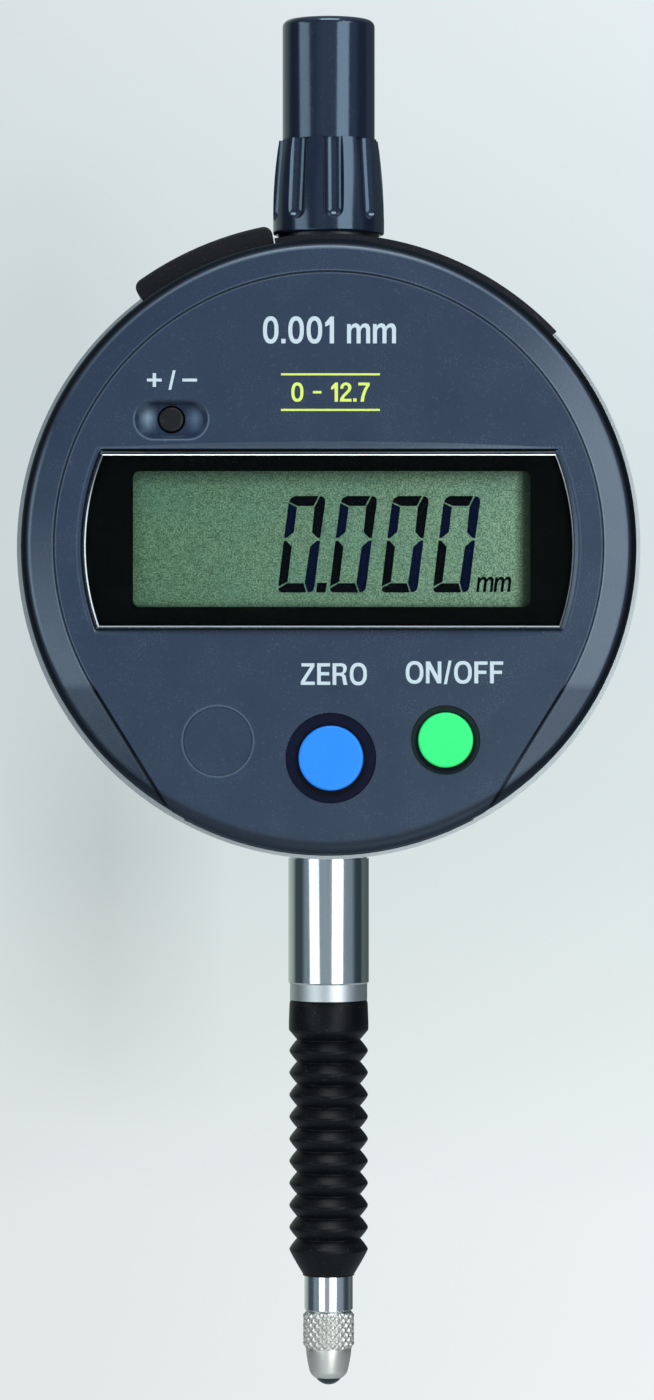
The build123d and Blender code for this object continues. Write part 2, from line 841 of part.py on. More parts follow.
with BuildPart() as connector_cover:
    with BuildSketch(facing(rim_mid_y + plug_cover_width / 2)):
        add(plug_cover_arc)
    extrude(amount=plug_cover_width)
    across = connector_cover.edges().filter_by(Axis.Y).sort_by_distance((0, rim_mid_y, body_z))
    fillet(across[-2:], plug_cover_corner)
    side_arcs = connector_cover.faces().filter_by(Axis.Y).edges().filter_by(GeomType.CIRCLE)
    fillet(side_arcs.group_by(SortBy.RADIUS)[-1], plug_cover_round)
    with BuildSketch(radial(socket_angle, plug_cover_inner - plug_depth)):
        Rectangle(pocket_width - 2 * plug_gap, pocket_length - 2 * plug_gap)
    extrude(amount=plug_depth + plug_root)
connector_cover.part.label = "connector_cover"
export_step(connector_cover.part, "parts/connector_cover.step")

# Stem and bushes

with BuildPart() as stem:
    with BuildSketch(Plane.XY.offset(stem_bottom)):
        Circle(stem_radius)
    extrude(amount=shoulder_z - stem_bottom)
    chamfer(stem.edges().group_by(Axis.Z)[0], stem_chamfer)
    with BuildSketch(Plane.XY.offset(shoulder_z)):
        Circle(stem_shank_radius)
    extrude(amount=stem_top - shoulder_z)
    with BuildSketch(Plane.XY.offset(stem_bottom)):
        Circle(stem_bore / 2)
    extrude(amount=stem_top - stem_bottom, mode=Mode.SUBTRACT)
stem.part.label = "stem"
export_step(stem.part, "parts/stem.step")

sleeve_radius = stem_bore / 2 - fit_gap
sleeve_top = stem_bottom + lower_bush_length

with BuildPart() as lower_bush:
    with BuildSketch(Plane.XZ):
        with BuildLine():
            Polyline(
                (bush_bore, sleeve_top),
                (sleeve_radius, sleeve_top),
                (sleeve_radius, stem_bottom),
                (lower_flange_radius, stem_bottom),
                (lower_flange_radius, boot_top),
                (boot_spigot_radius, boot_top),
                (boot_spigot_radius, boot_top - boot_spigot_length),
                (bush_bore, boot_top - boot_spigot_length),
                close=True,
            )
        make_face()
    revolve(axis=Axis.Z)
lower_bush.part.label = "lower_bush"
export_step(lower_bush.part, "parts/lower_bush.step")

with BuildPart() as upper_bush:
    with BuildSketch(Plane.XZ):
        with BuildLine():
            Polyline(
                (bush_bore, upper_boss_bottom),
                (upper_bush_radius, upper_boss_bottom),
                (upper_bush_radius, neck_z),
                (neck_radius, neck_z),
                (neck_radius, cap_bottom),
                (spigot_radius, cap_bottom),
                (spigot_radius, cap_bottom + spigot_height),
                (bush_bore, cap_bottom + spigot_height),
                close=True,
            )
        make_face()
    revolve(axis=Axis.Z)
upper_bush.part.label = "upper_bush"
export_step(upper_bush.part, "parts/upper_bush.step")

# Spindle, contact point and ball

spindle_top = cap_bottom + spindle_head

with BuildPart() as spindle:
    with BuildSketch(Plane.XY.offset(spindle_bottom)):
        Circle(spindle_radius)
    extrude(amount=spindle_top - spindle_bottom)
    chamfer(spindle.edges().filter_by(GeomType.CIRCLE), spindle_chamfer)
    with BuildSketch(Plane.XY.offset(spindle_bottom)):
        Circle(point_thread_radius + fit_gap)
    extrude(amount=point_thread_length + point_hole_spare, mode=Mode.SUBTRACT)
spindle.part.label = "spindle"
export_step(spindle.part, "parts/spindle.step")

taper_top = spindle_bottom - point_knurl_length
taper_bottom = point_bottom + point_tip_land
ball_z = point_bottom + ball_radius

with BuildPart() as contact_point:
    with BuildSketch(Plane.XZ):
        with BuildLine():
            Polyline(
                (0, taper_bottom),
                (0, spindle_bottom + point_thread_length),
                (point_thread_radius, spindle_bottom + point_thread_length),
                (point_thread_radius, spindle_bottom),
                (point_knurl_radius, spindle_bottom),
                (point_knurl_radius, taper_top),
            )
            ThreePointArc(
                (point_knurl_radius, taper_top),
                ((point_knurl_radius + point_tip_radius) / 2 + point_belly, (taper_top + taper_bottom) / 2),
                (point_tip_radius, taper_bottom),
            )
            Line((point_tip_radius, taper_bottom), (0, taper_bottom))
        make_face()
    revolve(axis=Axis.Z)
    with Locations((0, 0, ball_z)):
        Sphere(ball_radius + fit_gap, mode=Mode.SUBTRACT)
contact_point.part.label = "contact_point"
export_step(contact_point.part, "parts/contact_point.step")

with BuildPart() as contact_ball:
    with Locations((0, 0, ball_z)):
        Sphere(ball_radius)
contact_ball.part.label = "contact_ball"
export_step(contact_ball.part, "parts/contact_ball.step")

# Rubber boot with its folds

neck_bottom = boot_top - boot_collar_length - boot_neck_drop
peak_heights = [neck_bottom - (fold + 0.5) * boot_pitch for fold in range(boot_folds)]
boot_end_z = peak_heights[-1] - boot_end_length
boot_bottom = boot_end_z - boot_lip
valley_inner = boot_valley_radius - boot_wall
boot_grip = spindle_radius + fit_gap


folds = [(boot_peak_radius, peak_heights[0])]
for peak_z in peak_heights[1:]:
    folds.append((boot_valley_radius, peak_z + boot_pitch / 2))
    folds.append((boot_peak_radius, peak_z))
boot_outside = [
    (boot_collar_radius, boot_top),
    (boot_collar_radius, boot_top - boot_collar_length),
    (boot_valley_radius, neck_bottom),
    *folds,
    (boot_end_radius, boot_end_z),
    (boot_end_radius, boot_bottom),
]
boot_inside = [
    (boot_spigot_radius + fit_gap, boot_top),
    (boot_spigot_radius + fit_gap, boot_top - boot_spigot_length),
    (valley_inner, boot_top - boot_collar_length),
    (valley_inner, peak_heights[-1]),
    (boot_grip, boot_end_z + boot_lip_root),
    (boot_grip, boot_bottom),
]

with BuildPart() as spindle_boot:
    with BuildSketch(Plane.XZ):
        with BuildLine():
            Polyline(*boot_outside, *reversed(boot_inside), close=True)
        make_face()
    revolve(axis=Axis.Z)
spindle_boot.part.label = "spindle_boot"
export_step(spindle_boot.part, "parts/spindle_boot.step")

# Screw-on cap over the upper end of the spindle, with flutes for the fingers

cap_flare_bottom = cap_bottom + cap_foot_height
flute_low = Vector(
    cap_foot_radius + flute_radius - flute_depth, 0, cap_bottom + flute_foot + flute_radius
)
flute_high = Vector(cap_step_radius + flute_radius - flute_depth, 0, cap_step_z + flute_radius)

with BuildPart() as flute:
    with BuildSketch(Plane(origin=flute_low, z_dir=flute_high - flute_low)):
        Circle(flute_radius)
    extrude(amount=(flute_high - flute_low).length)
    with Locations(flute_low):
        Sphere(flute_radius)

with BuildPart() as spindle_cap:
    with BuildSketch(Plane.XZ) as grip_section:
        with BuildLine():
            Line((cap_bore_radius, cap_step_z), (cap_step_radius, cap_step_z))
            ThreePointArc(
                (cap_step_radius, cap_step_z),
                (
                    cap_foot_radius - (cap_foot_radius - cap_step_radius) / 4,
                    (cap_step_z + cap_flare_bottom) / 2,
                ),
                (cap_foot_radius, cap_flare_bottom),
            )
            Polyline(
                (cap_foot_radius, cap_flare_bottom),
                (cap_foot_radius, cap_bottom),
                (spigot_radius + fit_gap, cap_bottom),
                (spigot_radius + fit_gap, cap_bottom + spigot_height + cap_thread_clearance),
                (cap_bore_radius, cap_bottom + spigot_height + cap_thread_clearance),
                (cap_bore_radius, cap_step_z),
            )
        make_face()
        foot_corner = grip_section.vertices().sort_by_distance((cap_foot_radius, cap_bottom))[0]
        fillet(foot_corner, cap_foot_round)
    revolve(axis=Axis.Z)
    with PolarLocations(0, flute_count, start_angle=-90 + flute_phase):
        add(flute.part, mode=Mode.SUBTRACT)
    with BuildSketch(Plane.XZ) as barrel_section:
        with BuildLine():
            Polyline(
                (0, cap_top - cap_wall),
                (0, cap_top),
                (cap_radius, cap_top),
                (cap_radius, cap_step_z),
                (cap_bore_radius, cap_step_z),
                (cap_bore_radius, cap_top - cap_wall),
                close=True,
            )
        make_face()
        top_corner = barrel_section.vertices().sort_by_distance((cap_radius, cap_top))[0]
        fillet(top_corner, cap_round)
    revolve(axis=Axis.Z)
spindle_cap.part.label = "spindle_cap"
export_step(spindle_cap.part, "parts/spindle_cap.step")

# Carrier on the spindle, with the scale strip, its screw and the pin that stops it turning

carrier_bottom = carrier_z - carrier_height
guide_z = carrier_z - guide_pin_drop
carrier_depth = carrier_back_y - strip_back_y

with BuildPart() as scale_carrier:
    with BuildSketch(Plane.XY.offset(carrier_bottom)):
        with Locations((0, (carrier_back_y + strip_back_y) / 2)):
            Rectangle(carrier_width, carrier_depth)
        Circle(spindle_radius + fit_gap, mode=Mode.SUBTRACT)
    extrude(amount=carrier_height)
    with BuildSketch(Plane.YZ):
        with Locations((0, guide_z)):
            Circle(carrier_screw_radius + fit_gap)
    extrude(amount=carrier_width / 2, mode=Mode.SUBTRACT)
    with BuildSketch(Plane.XZ.offset(-carrier_back_y)):
        with Locations((0, guide_z)):
            Circle(guide_pin_radius + fit_gap)
    extrude(amount=guide_pin_seat, mode=Mode.SUBTRACT)
scale_carrier.part.label = "scale_carrier"
export_step(scale_carrier.part, "parts/scale_carrier.step")

with BuildPart() as carrier_screw:
    with BuildSketch(Plane.YZ.offset(spindle_radius + fit_gap)):
        with Locations((0, guide_z)):
            Circle(carrier_screw_radius)
    extrude(amount=carrier_width / 2 - spindle_radius - fit_gap)
    with BuildSketch(Plane.YZ.offset(carrier_width / 2)):
        with Locations((0, guide_z)):
            Rectangle(2 * carrier_screw_radius, screw_slot_width)
    extrude(amount=-screw_slot_depth, mode=Mode.SUBTRACT)
carrier_screw.part.label = "carrier_screw"
export_step(carrier_screw.part, "parts/carrier_screw.step")

with BuildPart() as scale_strip:
    with BuildSketch(Plane.XY.offset(carrier_bottom - strip_overhang)):
        with Locations((0, (strip_front_y + strip_back_y) / 2)):
            Rectangle(strip_width, strip_thickness)
    extrude(amount=strip_length)
scale_strip.part.label = "scale_strip"
export_step(scale_strip.part, "parts/scale_strip.step")

with BuildPart() as guide_pin:
    with BuildSketch(Plane.XZ.offset(-carrier_back_y + guide_pin_seat)):
        with Locations((0, guide_z)):
            Circle(guide_pin_radius)
    extrude(amount=-(guide_pin_seat + loose_gap + rail_thickness - guide_pin_spare))
guide_pin.part.label = "guide_pin"
export_step(guide_pin.part, "parts/guide_pin.step")

slot_width = 2 * (guide_pin_radius + slide_gap)
slot_low = guide_z - guide_pin_radius - rail_slot_spare
slot_high = guide_z + spindle_travel + guide_pin_radius + rail_slot_spare
slot_middle = (slot_low + slot_high) / 2

with BuildPart() as guide_rail:
    with BuildSketch(Plane.XZ.offset(-web_front_y)):
        with Locations((0, slot_middle)):
            Rectangle(rail_width, slot_high - slot_low + 2 * rail_end)
            Rectangle(slot_width, slot_high - slot_low, mode=Mode.SUBTRACT)
    extrude(amount=rail_thickness)
guide_rail.part.label = "guide_rail"
export_step(guide_rail.part, "parts/guide_rail.step")

coil_bottom = carrier_z + spring_wire_radius + spring_end_gap
coil_top = upper_boss_bottom - spring_wire_radius - spring_end_gap

with BuildPart() as return_spring:
    with BuildLine():
        coil = Helix(
            pitch=(coil_top - coil_bottom) / spring_turns,
            height=coil_top - coil_bottom,
            radius=spring_mean_radius,
            center=(0, 0, coil_bottom),
        )
    with BuildSketch(Plane(origin=coil @ 0, z_dir=coil % 0)):
        Circle(spring_wire_radius)
    sweep()
return_spring.part.label = "return_spring"
export_step(return_spring.part, "parts/return_spring.step")

# Battery in its holder, with the contacts that reach the board

side_contact_z = holder_inner + contact_leaf / 2
contact_place = (-battery_across, side_contact_z - battery_drop)

with BuildPart() as battery:
    with BuildSketch(facing(battery_back_y)):
        with Locations(battery_place):
            Circle(battery_radius)
    extrude(amount=battery_thickness - battery_cap_height)
    with BuildSketch(facing(battery_front_y + battery_cap_height)):
        with Locations(battery_place):
            Circle(battery_cap_radius)
    extrude(amount=battery_cap_height)
battery.part.label = "battery"
export_step(battery.part, "parts/battery.step")

with BuildPart() as battery_holder:
    with BuildSketch(facing(rim_back_y)):
        with Locations(battery_place):
            Circle(holder_outer)
    extrude(amount=rim_back_y - holder_front_y)
    with BuildSketch(facing(web_front_y)):
        with Locations(battery_place):
            Circle(holder_outer + holder_flange)
    extrude(amount=holder_flange)
    with BuildSketch(facing(rim_back_y)):
        with Locations(battery_place):
            Circle(holder_inner)
    extrude(amount=rim_back_y - leaf_front_y, mode=Mode.SUBTRACT)
    with BuildSketch(facing(battery_back_y)):
        with Locations(battery_place):
            Circle(contact_post_radius + fit_gap)
        with Locations(contact_place):
            Rectangle(contact_side_width + 2 * fit_gap, contact_leaf + 2 * fit_gap)
    extrude(amount=battery_back_y - holder_front_y, mode=Mode.SUBTRACT)
battery_holder.part.label = "battery_holder"
export_step(battery_holder.part, "parts/battery_holder.step")

with BuildPart() as battery_contact_negative:
    with BuildSketch(facing(battery_front_y)):
        with Locations(battery_place):
            Circle(contact_leaf_radius)
    extrude(amount=contact_leaf)
    with BuildSketch(facing(leaf_front_y)):
        with Locations(battery_place):
            Circle(contact_post_radius)
    extrude(amount=leaf_front_y - board_back_y)
battery_contact_negative.part.label = "battery_contact_negative"
export_step(battery_contact_negative.part, "parts/battery_contact_negative.step")

with BuildPart() as battery_contact_positive:
    with BuildSketch(facing(battery_back_y)):
        with Locations(contact_place):
            Rectangle(contact_side_width, contact_leaf)
    extrude(amount=battery_back_y - board_back_y)
battery_contact_positive.part.label = "battery_contact_positive"
export_step(battery_contact_positive.part, "parts/battery_contact_positive.step")

seal_back_y = rim_back_y + door_seal_height

with BuildPart() as battery_cover:
    with BuildSketch(facing(back_y)):
        with Locations(battery_place):
            Circle(door_radius)
    extrude(amount=back_y - seal_back_y)
    with BuildSketch(facing(seal_back_y)):
        with Locations(battery_place):
            Circle(door_plug_radius)
    extrude(amount=door_seal_height + door_plug_depth)
    with BuildSketch(facing(back_y)):
        with Locations(battery_place):
            SlotOverall(door_slot_length, door_slot_width)
    extrude(amount=door_slot_depth, mode=Mode.SUBTRACT)
battery_cover.part.label = "battery_cover"
export_step(battery_cover.part, "parts/battery_cover.step")

with BuildPart() as battery_cover_seal:
    with BuildSketch(facing(seal_back_y)):
        with Locations(battery_place):
            Circle(door_radius)
            Circle(door_plug_radius + fit_gap, mode=Mode.SUBTRACT)
    extrude(amount=door_seal_height)
battery_cover_seal.part.label = "battery_cover_seal"
export_step(battery_cover_seal.part, "parts/battery_cover_seal.step")

# Back cover with its lug and screws

lug_y = back_y + lug_reach

with BuildPart() as back_cover:
    with BuildSketch(facing(back_y)):
        Circle(back_radius)
    extrude(amount=back_thickness)
    fillet(back_cover.faces().sort_by(Axis.Y)[-1].edges(), back_round)
    with BuildSketch(facing(back_y + lug_pad_height)):
        Circle(lug_pad_radius)
    extrude(amount=lug_pad_height)
    with BuildSketch(Plane.YZ.offset(-lug_thickness / 2)):
        with Locations((lug_y, body_z)):
            Circle(lug_end_radius)
        with Locations(((back_y + lug_y) / 2, body_z)):
            Rectangle(lug_reach, 2 * lug_end_radius)
    extrude(amount=lug_thickness)
    fillet(back_cover.faces().filter_by(Axis.X).edges().filter_by(GeomType.CIRCLE), lug_round)
    with BuildSketch(Plane.YZ.offset(-lug_thickness / 2)):
        with Locations((lug_y, body_z)):
            Circle(lug_hole_radius)
    extrude(amount=lug_thickness, mode=Mode.SUBTRACT)
    with BuildSketch(facing(back_y)):
        with Locations(battery_place):
            Circle(door_radius + door_gap)
        with Locations(*back_screw_points):
            Circle(back_screw_radius + back_hole_gap)
    extrude(amount=back_thickness, mode=Mode.SUBTRACT)
    with BuildSketch(facing(back_y)):
        with Locations(*back_screw_points):
            Circle(back_screw_head_radius + back_hole_gap)
    extrude(amount=back_screw_head, mode=Mode.SUBTRACT)
back_cover.part.label = "back_cover"
export_step(back_cover.part, "parts/back_cover.step")

with BuildPart() as back_cover_screws:
    with BuildSketch(facing(back_y)):
        with Locations(*back_screw_points):
            Circle(back_screw_head_radius)
    extrude(amount=back_screw_head)
    with BuildSketch(facing(back_y - back_screw_head)):
        with Locations(*back_screw_points):
            Circle(back_screw_radius - fit_gap)
    extrude(amount=back_screw_length)
    with BuildSketch(facing(back_y)):
        with Locations(*back_screw_points):
            Rectangle(2 * back_screw_head_radius, screw_slot_width)
    extrude(amount=screw_slot_depth, mode=Mode.SUBTRACT)
back_cover_screws.part.label = "back_cover_screws"
export_step(back_cover_screws.part, "parts/back_cover_screws.step")
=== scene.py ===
import json
import math

import bmesh
import bpy
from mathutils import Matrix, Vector


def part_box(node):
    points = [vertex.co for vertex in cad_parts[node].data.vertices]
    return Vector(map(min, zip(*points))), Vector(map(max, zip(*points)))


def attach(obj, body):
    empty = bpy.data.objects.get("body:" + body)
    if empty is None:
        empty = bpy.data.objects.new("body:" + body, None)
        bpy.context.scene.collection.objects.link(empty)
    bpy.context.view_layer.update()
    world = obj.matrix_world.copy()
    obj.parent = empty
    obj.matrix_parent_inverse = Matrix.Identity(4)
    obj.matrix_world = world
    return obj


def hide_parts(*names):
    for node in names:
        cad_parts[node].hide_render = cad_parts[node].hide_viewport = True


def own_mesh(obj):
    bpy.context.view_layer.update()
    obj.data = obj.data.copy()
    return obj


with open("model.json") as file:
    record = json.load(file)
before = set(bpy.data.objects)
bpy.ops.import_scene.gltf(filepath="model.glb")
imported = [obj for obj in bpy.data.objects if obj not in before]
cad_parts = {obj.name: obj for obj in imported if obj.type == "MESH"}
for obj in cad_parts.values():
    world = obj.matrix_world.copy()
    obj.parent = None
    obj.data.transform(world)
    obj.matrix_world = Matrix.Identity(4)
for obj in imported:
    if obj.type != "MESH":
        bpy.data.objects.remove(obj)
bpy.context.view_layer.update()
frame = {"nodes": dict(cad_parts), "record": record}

nodes = frame["nodes"]
MM = 0.001

# Places read from the frame, in metres.
panel_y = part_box("front_cover")[0].y
body_z = (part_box("front_gasket")[0].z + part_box("front_gasket")[1].z) / 2
lens_low, lens_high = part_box("window_lens")
display_low, display_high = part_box("lcd_panel")
boot_low, boot_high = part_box("spindle_boot")
point_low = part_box("contact_point")[0]
spring_low, spring_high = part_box("return_spring")
spindle_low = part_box("spindle")[0]


def srgb(red, green, blue):
    """Colour as seen on a screen, 0 to 255, as the shader's own linear values."""
    def linear(value):
        value /= 255
        return value / 12.92 if value <= 0.04045 else ((value + 0.055) / 1.055) ** 2.4
    return (linear(red), linear(green), linear(blue), 1.0)


def put(name, data):
    """New object with this data, in the scene."""
    made = bpy.data.objects.new(name, data)
    bpy.context.scene.collection.objects.link(made)
    return made


# Camera at the photograph's place: level, straight at the display.

camera_data = bpy.data.cameras.new("camera")
camera_data.sensor_width = 36
camera_data.lens = 129.34
camera_data.shift_y = -0.0307
camera_data.clip_start = 0.05
camera_data.clip_end = 20
camera = put("camera", camera_data)
camera.location = (-0.16 * MM, -0.5, 26.0 * MM)
camera.rotation_euler = (math.radians(90), 0, 0)
bpy.context.scene.camera = camera
bpy.context.scene.view_settings.view_transform = "Standard"


# Node wiring

def step(operation):
    """Method that adds one math node after a value."""
    return lambda value, *others: value.wiring.math(operation, value, *others)


class Value:
    """Output of a node. Arithmetic with it adds math nodes."""

    def __init__(self, wiring, socket):
        self.wiring = wiring
        self.socket = socket

    __add__, __sub__, __mul__, __truediv__ = step("ADD"), step("SUBTRACT"), step("MULTIPLY"), step("DIVIDE")
    __pow__, __abs__ = step("POWER"), step("ABSOLUTE")
    __lt__, __gt__ = step("LESS_THAN"), step("GREATER_THAN")
    most, least, fraction = step("MAXIMUM"), step("MINIMUM"), step("FRACT")
    root, sine, cosine = step("SQRT"), step("SINE"), step("COSINE")

    def __rsub__(self, number):
        return self.wiring.math("SUBTRACT", number, self)

    def clamped(self):
        """The same value, held between 0 and 1."""
        self.socket.node.use_clamp = True
        return self

    def band(self, middle, half_width):
        """1 in the middle of a band, falling to 0 at its edges."""
        return (1.0 - abs(self - middle) / half_width).clamped()

    def rise(self, start, end):
        """0 before start, 1 past end."""
        return ((self - start) / (end - start)).clamped()


class Wiring:
    """Adds nodes to a tree and joins them."""

    def __init__(self, tree):
        self.tree = tree

    def join(self, value, socket):
        """Links a value to a socket, or sets a plain one there."""
        value = getattr(value, "socket", value)
        if isinstance(value, bpy.types.NodeSocket):
            self.tree.links.new(value, socket)
        else:
            socket.default_value = value

    def node(self, kind, inputs=None, **settings):
        made = self.tree.nodes.new(kind)
        for key, value in settings.items():
            setattr(made, key, value)
        for key, value in (inputs or {}).items():
            self.join(value, made.inputs[key])
        return made

    def value(self, kind, inputs=None, output=0, **settings):
        """One output of a new node."""
        return Value(self, self.node(kind, inputs, **settings).outputs[output])

    def values(self, kind, inputs=None):
        """All outputs of a new node, by name."""
        return {socket.name: Value(self, socket) for socket in self.node(kind, inputs).outputs}

    def math(self, operation, *values):
        return self.value("ShaderNodeMath", dict(enumerate(values)), operation=operation)

    def noise(self, place, scale, detail):
        return self.value("ShaderNodeTexNoise", {"Vector": place, "Scale": scale, "Detail": detail})

    def mix(self, factor, first, second, blend="MIX"):
        made = self.node("ShaderNodeMix", data_type="RGBA", blend_type=blend)
        for number, value in ((0, factor), (6, first), (7, second)):
            self.join(value, made.inputs[number])
        return Value(self, made.outputs[2])

    def ramp(self, factor, stops):
        made = self.node("ShaderNodeValToRGB", {0: factor})
        elements = made.color_ramp.elements
        while len(elements) < len(stops):
            elements.new(0.5)
        for element, (place, colour) in zip(elements, stops):
            element.position = place
            element.color = colour
        return Value(self, made.outputs[0])


def shader_group(name, inputs, outputs):
    """New shader node group with named sockets; gives its wiring, its input node and its output node."""
    tree = bpy.data.node_groups.new(name, "ShaderNodeTree")
    for label, kind, value in inputs:
        socket = tree.interface.new_socket(label, in_out="INPUT", socket_type=kind)
        socket.default_value = value
    for label, kind in outputs:
        tree.interface.new_socket(label, in_out="OUTPUT", socket_type=kind)
    wiring = Wiring(tree)
    return wiring, wiring.values("NodeGroupInput"), wiring.node("NodeGroupOutput").inputs


FLOAT, COLOUR, VECTOR = "NodeSocketFloat", "NodeSocketColor", "NodeSocketVector"
SURFACE = (("Color", COLOUR), ("Roughness", FLOAT), ("Height", FLOAT))


def make_grain():
    """Fine moulded grain, with broad mottling and pale specks."""
    wiring, given, out = shader_group(
        "moulded_grain",
        (
            ("Color", COLOUR, (0.1, 0.1, 0.1, 1)),
            ("Mottle Color", COLOUR, (0.12, 0.12, 0.12, 1)),
            ("Mottle", FLOAT, 0.4),
            ("Speck Color", COLOUR, (0.4, 0.4, 0.4, 1)),
            ("Specks", FLOAT, 0.1),
            ("Roughness", FLOAT, 0.45),
            ("Roughness Spread", FLOAT, 0.12),
            ("Grains per Metre", FLOAT, 6000.0),
        ),
        SURFACE,
    )
    place = wiring.value("ShaderNodeTexCoord", output="Object")
    fine = wiring.noise(place, given["Grains per Metre"], 2.0)
    broad = wiring.noise(place, 230.0, 3.0)
    speck = wiring.noise(place, 3400.0, 0.0)
    mottled = (broad * 0.6 + fine * 0.8) * given["Mottle"]
    colour = wiring.mix(mottled, given["Color"], given["Mottle Color"])
    chosen = ((speck - 0.7) * 9.0).clamped()
    colour = wiring.mix(chosen * given["Specks"], colour, given["Speck Color"])
    swing = (fine - 0.5) * given["Roughness Spread"]
    swing = swing + (broad - 0.5) * given["Roughness Spread"]
    wiring.join(colour, out["Color"])
    wiring.join((given["Roughness"] + swing).clamped(), out["Roughness"])
    wiring.join(fine, out["Height"])
    return wiring.tree


def make_turned():
    """Fine lines of a tool or a grinding wheel, across the direction of Lines, with faint handling marks."""
    wiring, given, out = shader_group(
        "turned_lines",
        (
            ("Color", COLOUR, (0.6, 0.6, 0.6, 1)),
            ("Line Color", COLOUR, (0.5, 0.5, 0.5, 1)),
            ("Line Strength", FLOAT, 0.5),
            ("Roughness", FLOAT, 0.2),
            ("Roughness Spread", FLOAT, 0.1),
            ("Lines", VECTOR, (0, 0, 9000.0)),
        ),
        SURFACE,
    )
    place = wiring.value("ShaderNodeTexCoord", output="Object")
    line_place = wiring.value("ShaderNodeVectorMath", {0: place, 1: given["Lines"]}, operation="MULTIPLY")
    line = wiring.noise(line_place, 1.0, 3.0)
    marks = wiring.noise(place, 300.0, 4.0)
    colour = wiring.mix(line * given["Line Strength"], given["Color"], given["Line Color"])
    swing = line - 0.5 + (marks - 0.5)
    rough = (given["Roughness"] + swing * given["Roughness Spread"]).clamped()
    wiring.join(colour, out["Color"])
    wiring.join(rough, out["Roughness"])
    wiring.join(line, out["Height"])
    return wiring.tree


finishes = {}
grain_tree = make_grain()
turned_tree = make_turned()


def opened(material):
    """Wiring and shader of a material."""
    return Wiring(material.node_tree), material.node_tree.nodes["Principled BSDF"]


def new_finish(name):
    """Plain material, kept in finishes under its name."""
    finishes[name] = bpy.data.materials.new(name)
    finishes[name].use_nodes = True
    return finishes[name]


def finish(name, tree, values, relief=0.0, depth=0.02 * MM, **surface):
    """Material whose surface comes from a group; surface holds the shader's own plain values."""
    material = new_finish(name)
    wiring, shader = opened(material)
    group = wiring.node("ShaderNodeGroup", node_tree=tree)
    for key, value in values.items():
        group.inputs[key].default_value = value
    wiring.join(group.outputs["Color"], shader.inputs["Base Color"])
    wiring.join(group.outputs["Roughness"], shader.inputs["Roughness"])
    if relief:
        inputs = {"Height": group.outputs["Height"], "Strength": relief, "Distance": depth}
        wiring.join(wiring.value("ShaderNodeBump", inputs), shader.inputs["Normal"])
    for key, value in surface.items():
        shader.inputs[key.replace("_", " ")].default_value = value
    return material


def plastic(name, colour, mottle, roughness, specks=0.1, relief=0.25, grains=6000.0, **surface):
    """Moulded plastic or rubber."""
    values = {"Color": srgb(*colour), "Mottle Color": srgb(*mottle), "Specks": specks, "Roughness": roughness,
              "Grains per Metre": grains}
    return finish(name, grain_tree, values, relief, **surface)


def metal(name, colour, line_colour, roughness, lines=(0, 0, 9000.0), relief=0.1, spread=0.1, **surface):
    """Turned, ground or drawn metal."""
    values = {"Color": srgb(*colour), "Line Color": srgb(*line_colour), "Roughness": roughness,
              "Roughness Spread": spread, "Lines": lines}
    return finish(name, turned_tree, values, relief, depth=0.005 * MM, Metallic=1.0, **surface)


plastic("saddle_plastic", (15, 19, 27), (24, 29, 39), 0.5, 0.05, 0.25, Specular_IOR_Level=0.3)
plastic("cover_rubber", (11, 13, 18), (28, 31, 38), 0.5, 0.06, 0.4, Specular_IOR_Level=0.25)
plastic("boot_rubber", (4, 6, 9), (9, 12, 16), 0.4, 0.03, 0.15, Specular_IOR_Level=0.16)
plastic("cap_plastic", (22, 27, 44), (29, 35, 54), 0.13, 0.02, 0.05, Specular_IOR_Level=1.0,
        Specular_Tint=(0.55, 0.79, 1.0, 1.0))
plastic("black_plastic", (18, 20, 23), (30, 32, 36), 0.5)
plastic("neck_black", (10, 13, 17), (16, 19, 24), 0.35)
plastic("seal_rubber", (16, 16, 17), (26, 26, 28), 0.65)
plastic("strip_rubber", (60, 60, 62), (80, 80, 82), 0.7)
plastic("chip_black", (24, 24, 26), (40, 40, 42), 0.55)
plastic("board_green", (24, 92, 58), (30, 112, 70), 0.35, 0.0)
plastic("power_green", (30, 234, 117), (50, 252, 136), 0.4, 0.02, 0.1, grains=3000.0)
plastic("sign_black", (9, 11, 14), (16, 19, 24), 0.4, 0.05, 0.2, Specular_IOR_Level=0.3)
plastic("zero_blue", (6, 127, 236), (22, 147, 252), 0.4, 0.02, 0.1, grains=3000.0)
plastic("scale_glass", (70, 76, 82), (90, 96, 104), 0.15)
plastic("dark_alloy", (34, 43, 54), (46, 56, 68), 0.5, 0.08, 0.4)
metal("frame_alloy", (206, 212, 212), (170, 178, 178), 0.32, (0, 7000.0, 0), 0.2)
metal("stem_steel", (208, 216, 218), (188, 196, 199), 0.11, relief=0.03, spread=0.05)
metal("bush_steel", (206, 212, 214), (176, 184, 188), 0.42, relief=0.2)
metal("spindle_steel", (226, 232, 236), (198, 204, 208), 0.12, relief=0.04)
metal("point_steel", (214, 214, 208), (180, 180, 174), 0.36, relief=0.12)
metal("ball_steel", (60, 72, 82), (50, 60, 70), 0.15, relief=0.02)
metal("steel", (190, 192, 196), (150, 152, 156), 0.28, (0, 9000.0, 0))
metal("spring_steel", (170, 172, 176), (130, 134, 138), 0.3)
metal("battery_steel", (206, 208, 210), (170, 172, 176), 0.3, (0, 6000.0, 0))
metal("can_steel", (210, 212, 214), (180, 182, 186), 0.3, (5000.0, 0, 0))
metal("dome_steel", (212, 214, 218), (180, 182, 188), 0.25, (0, 0, 6000.0))
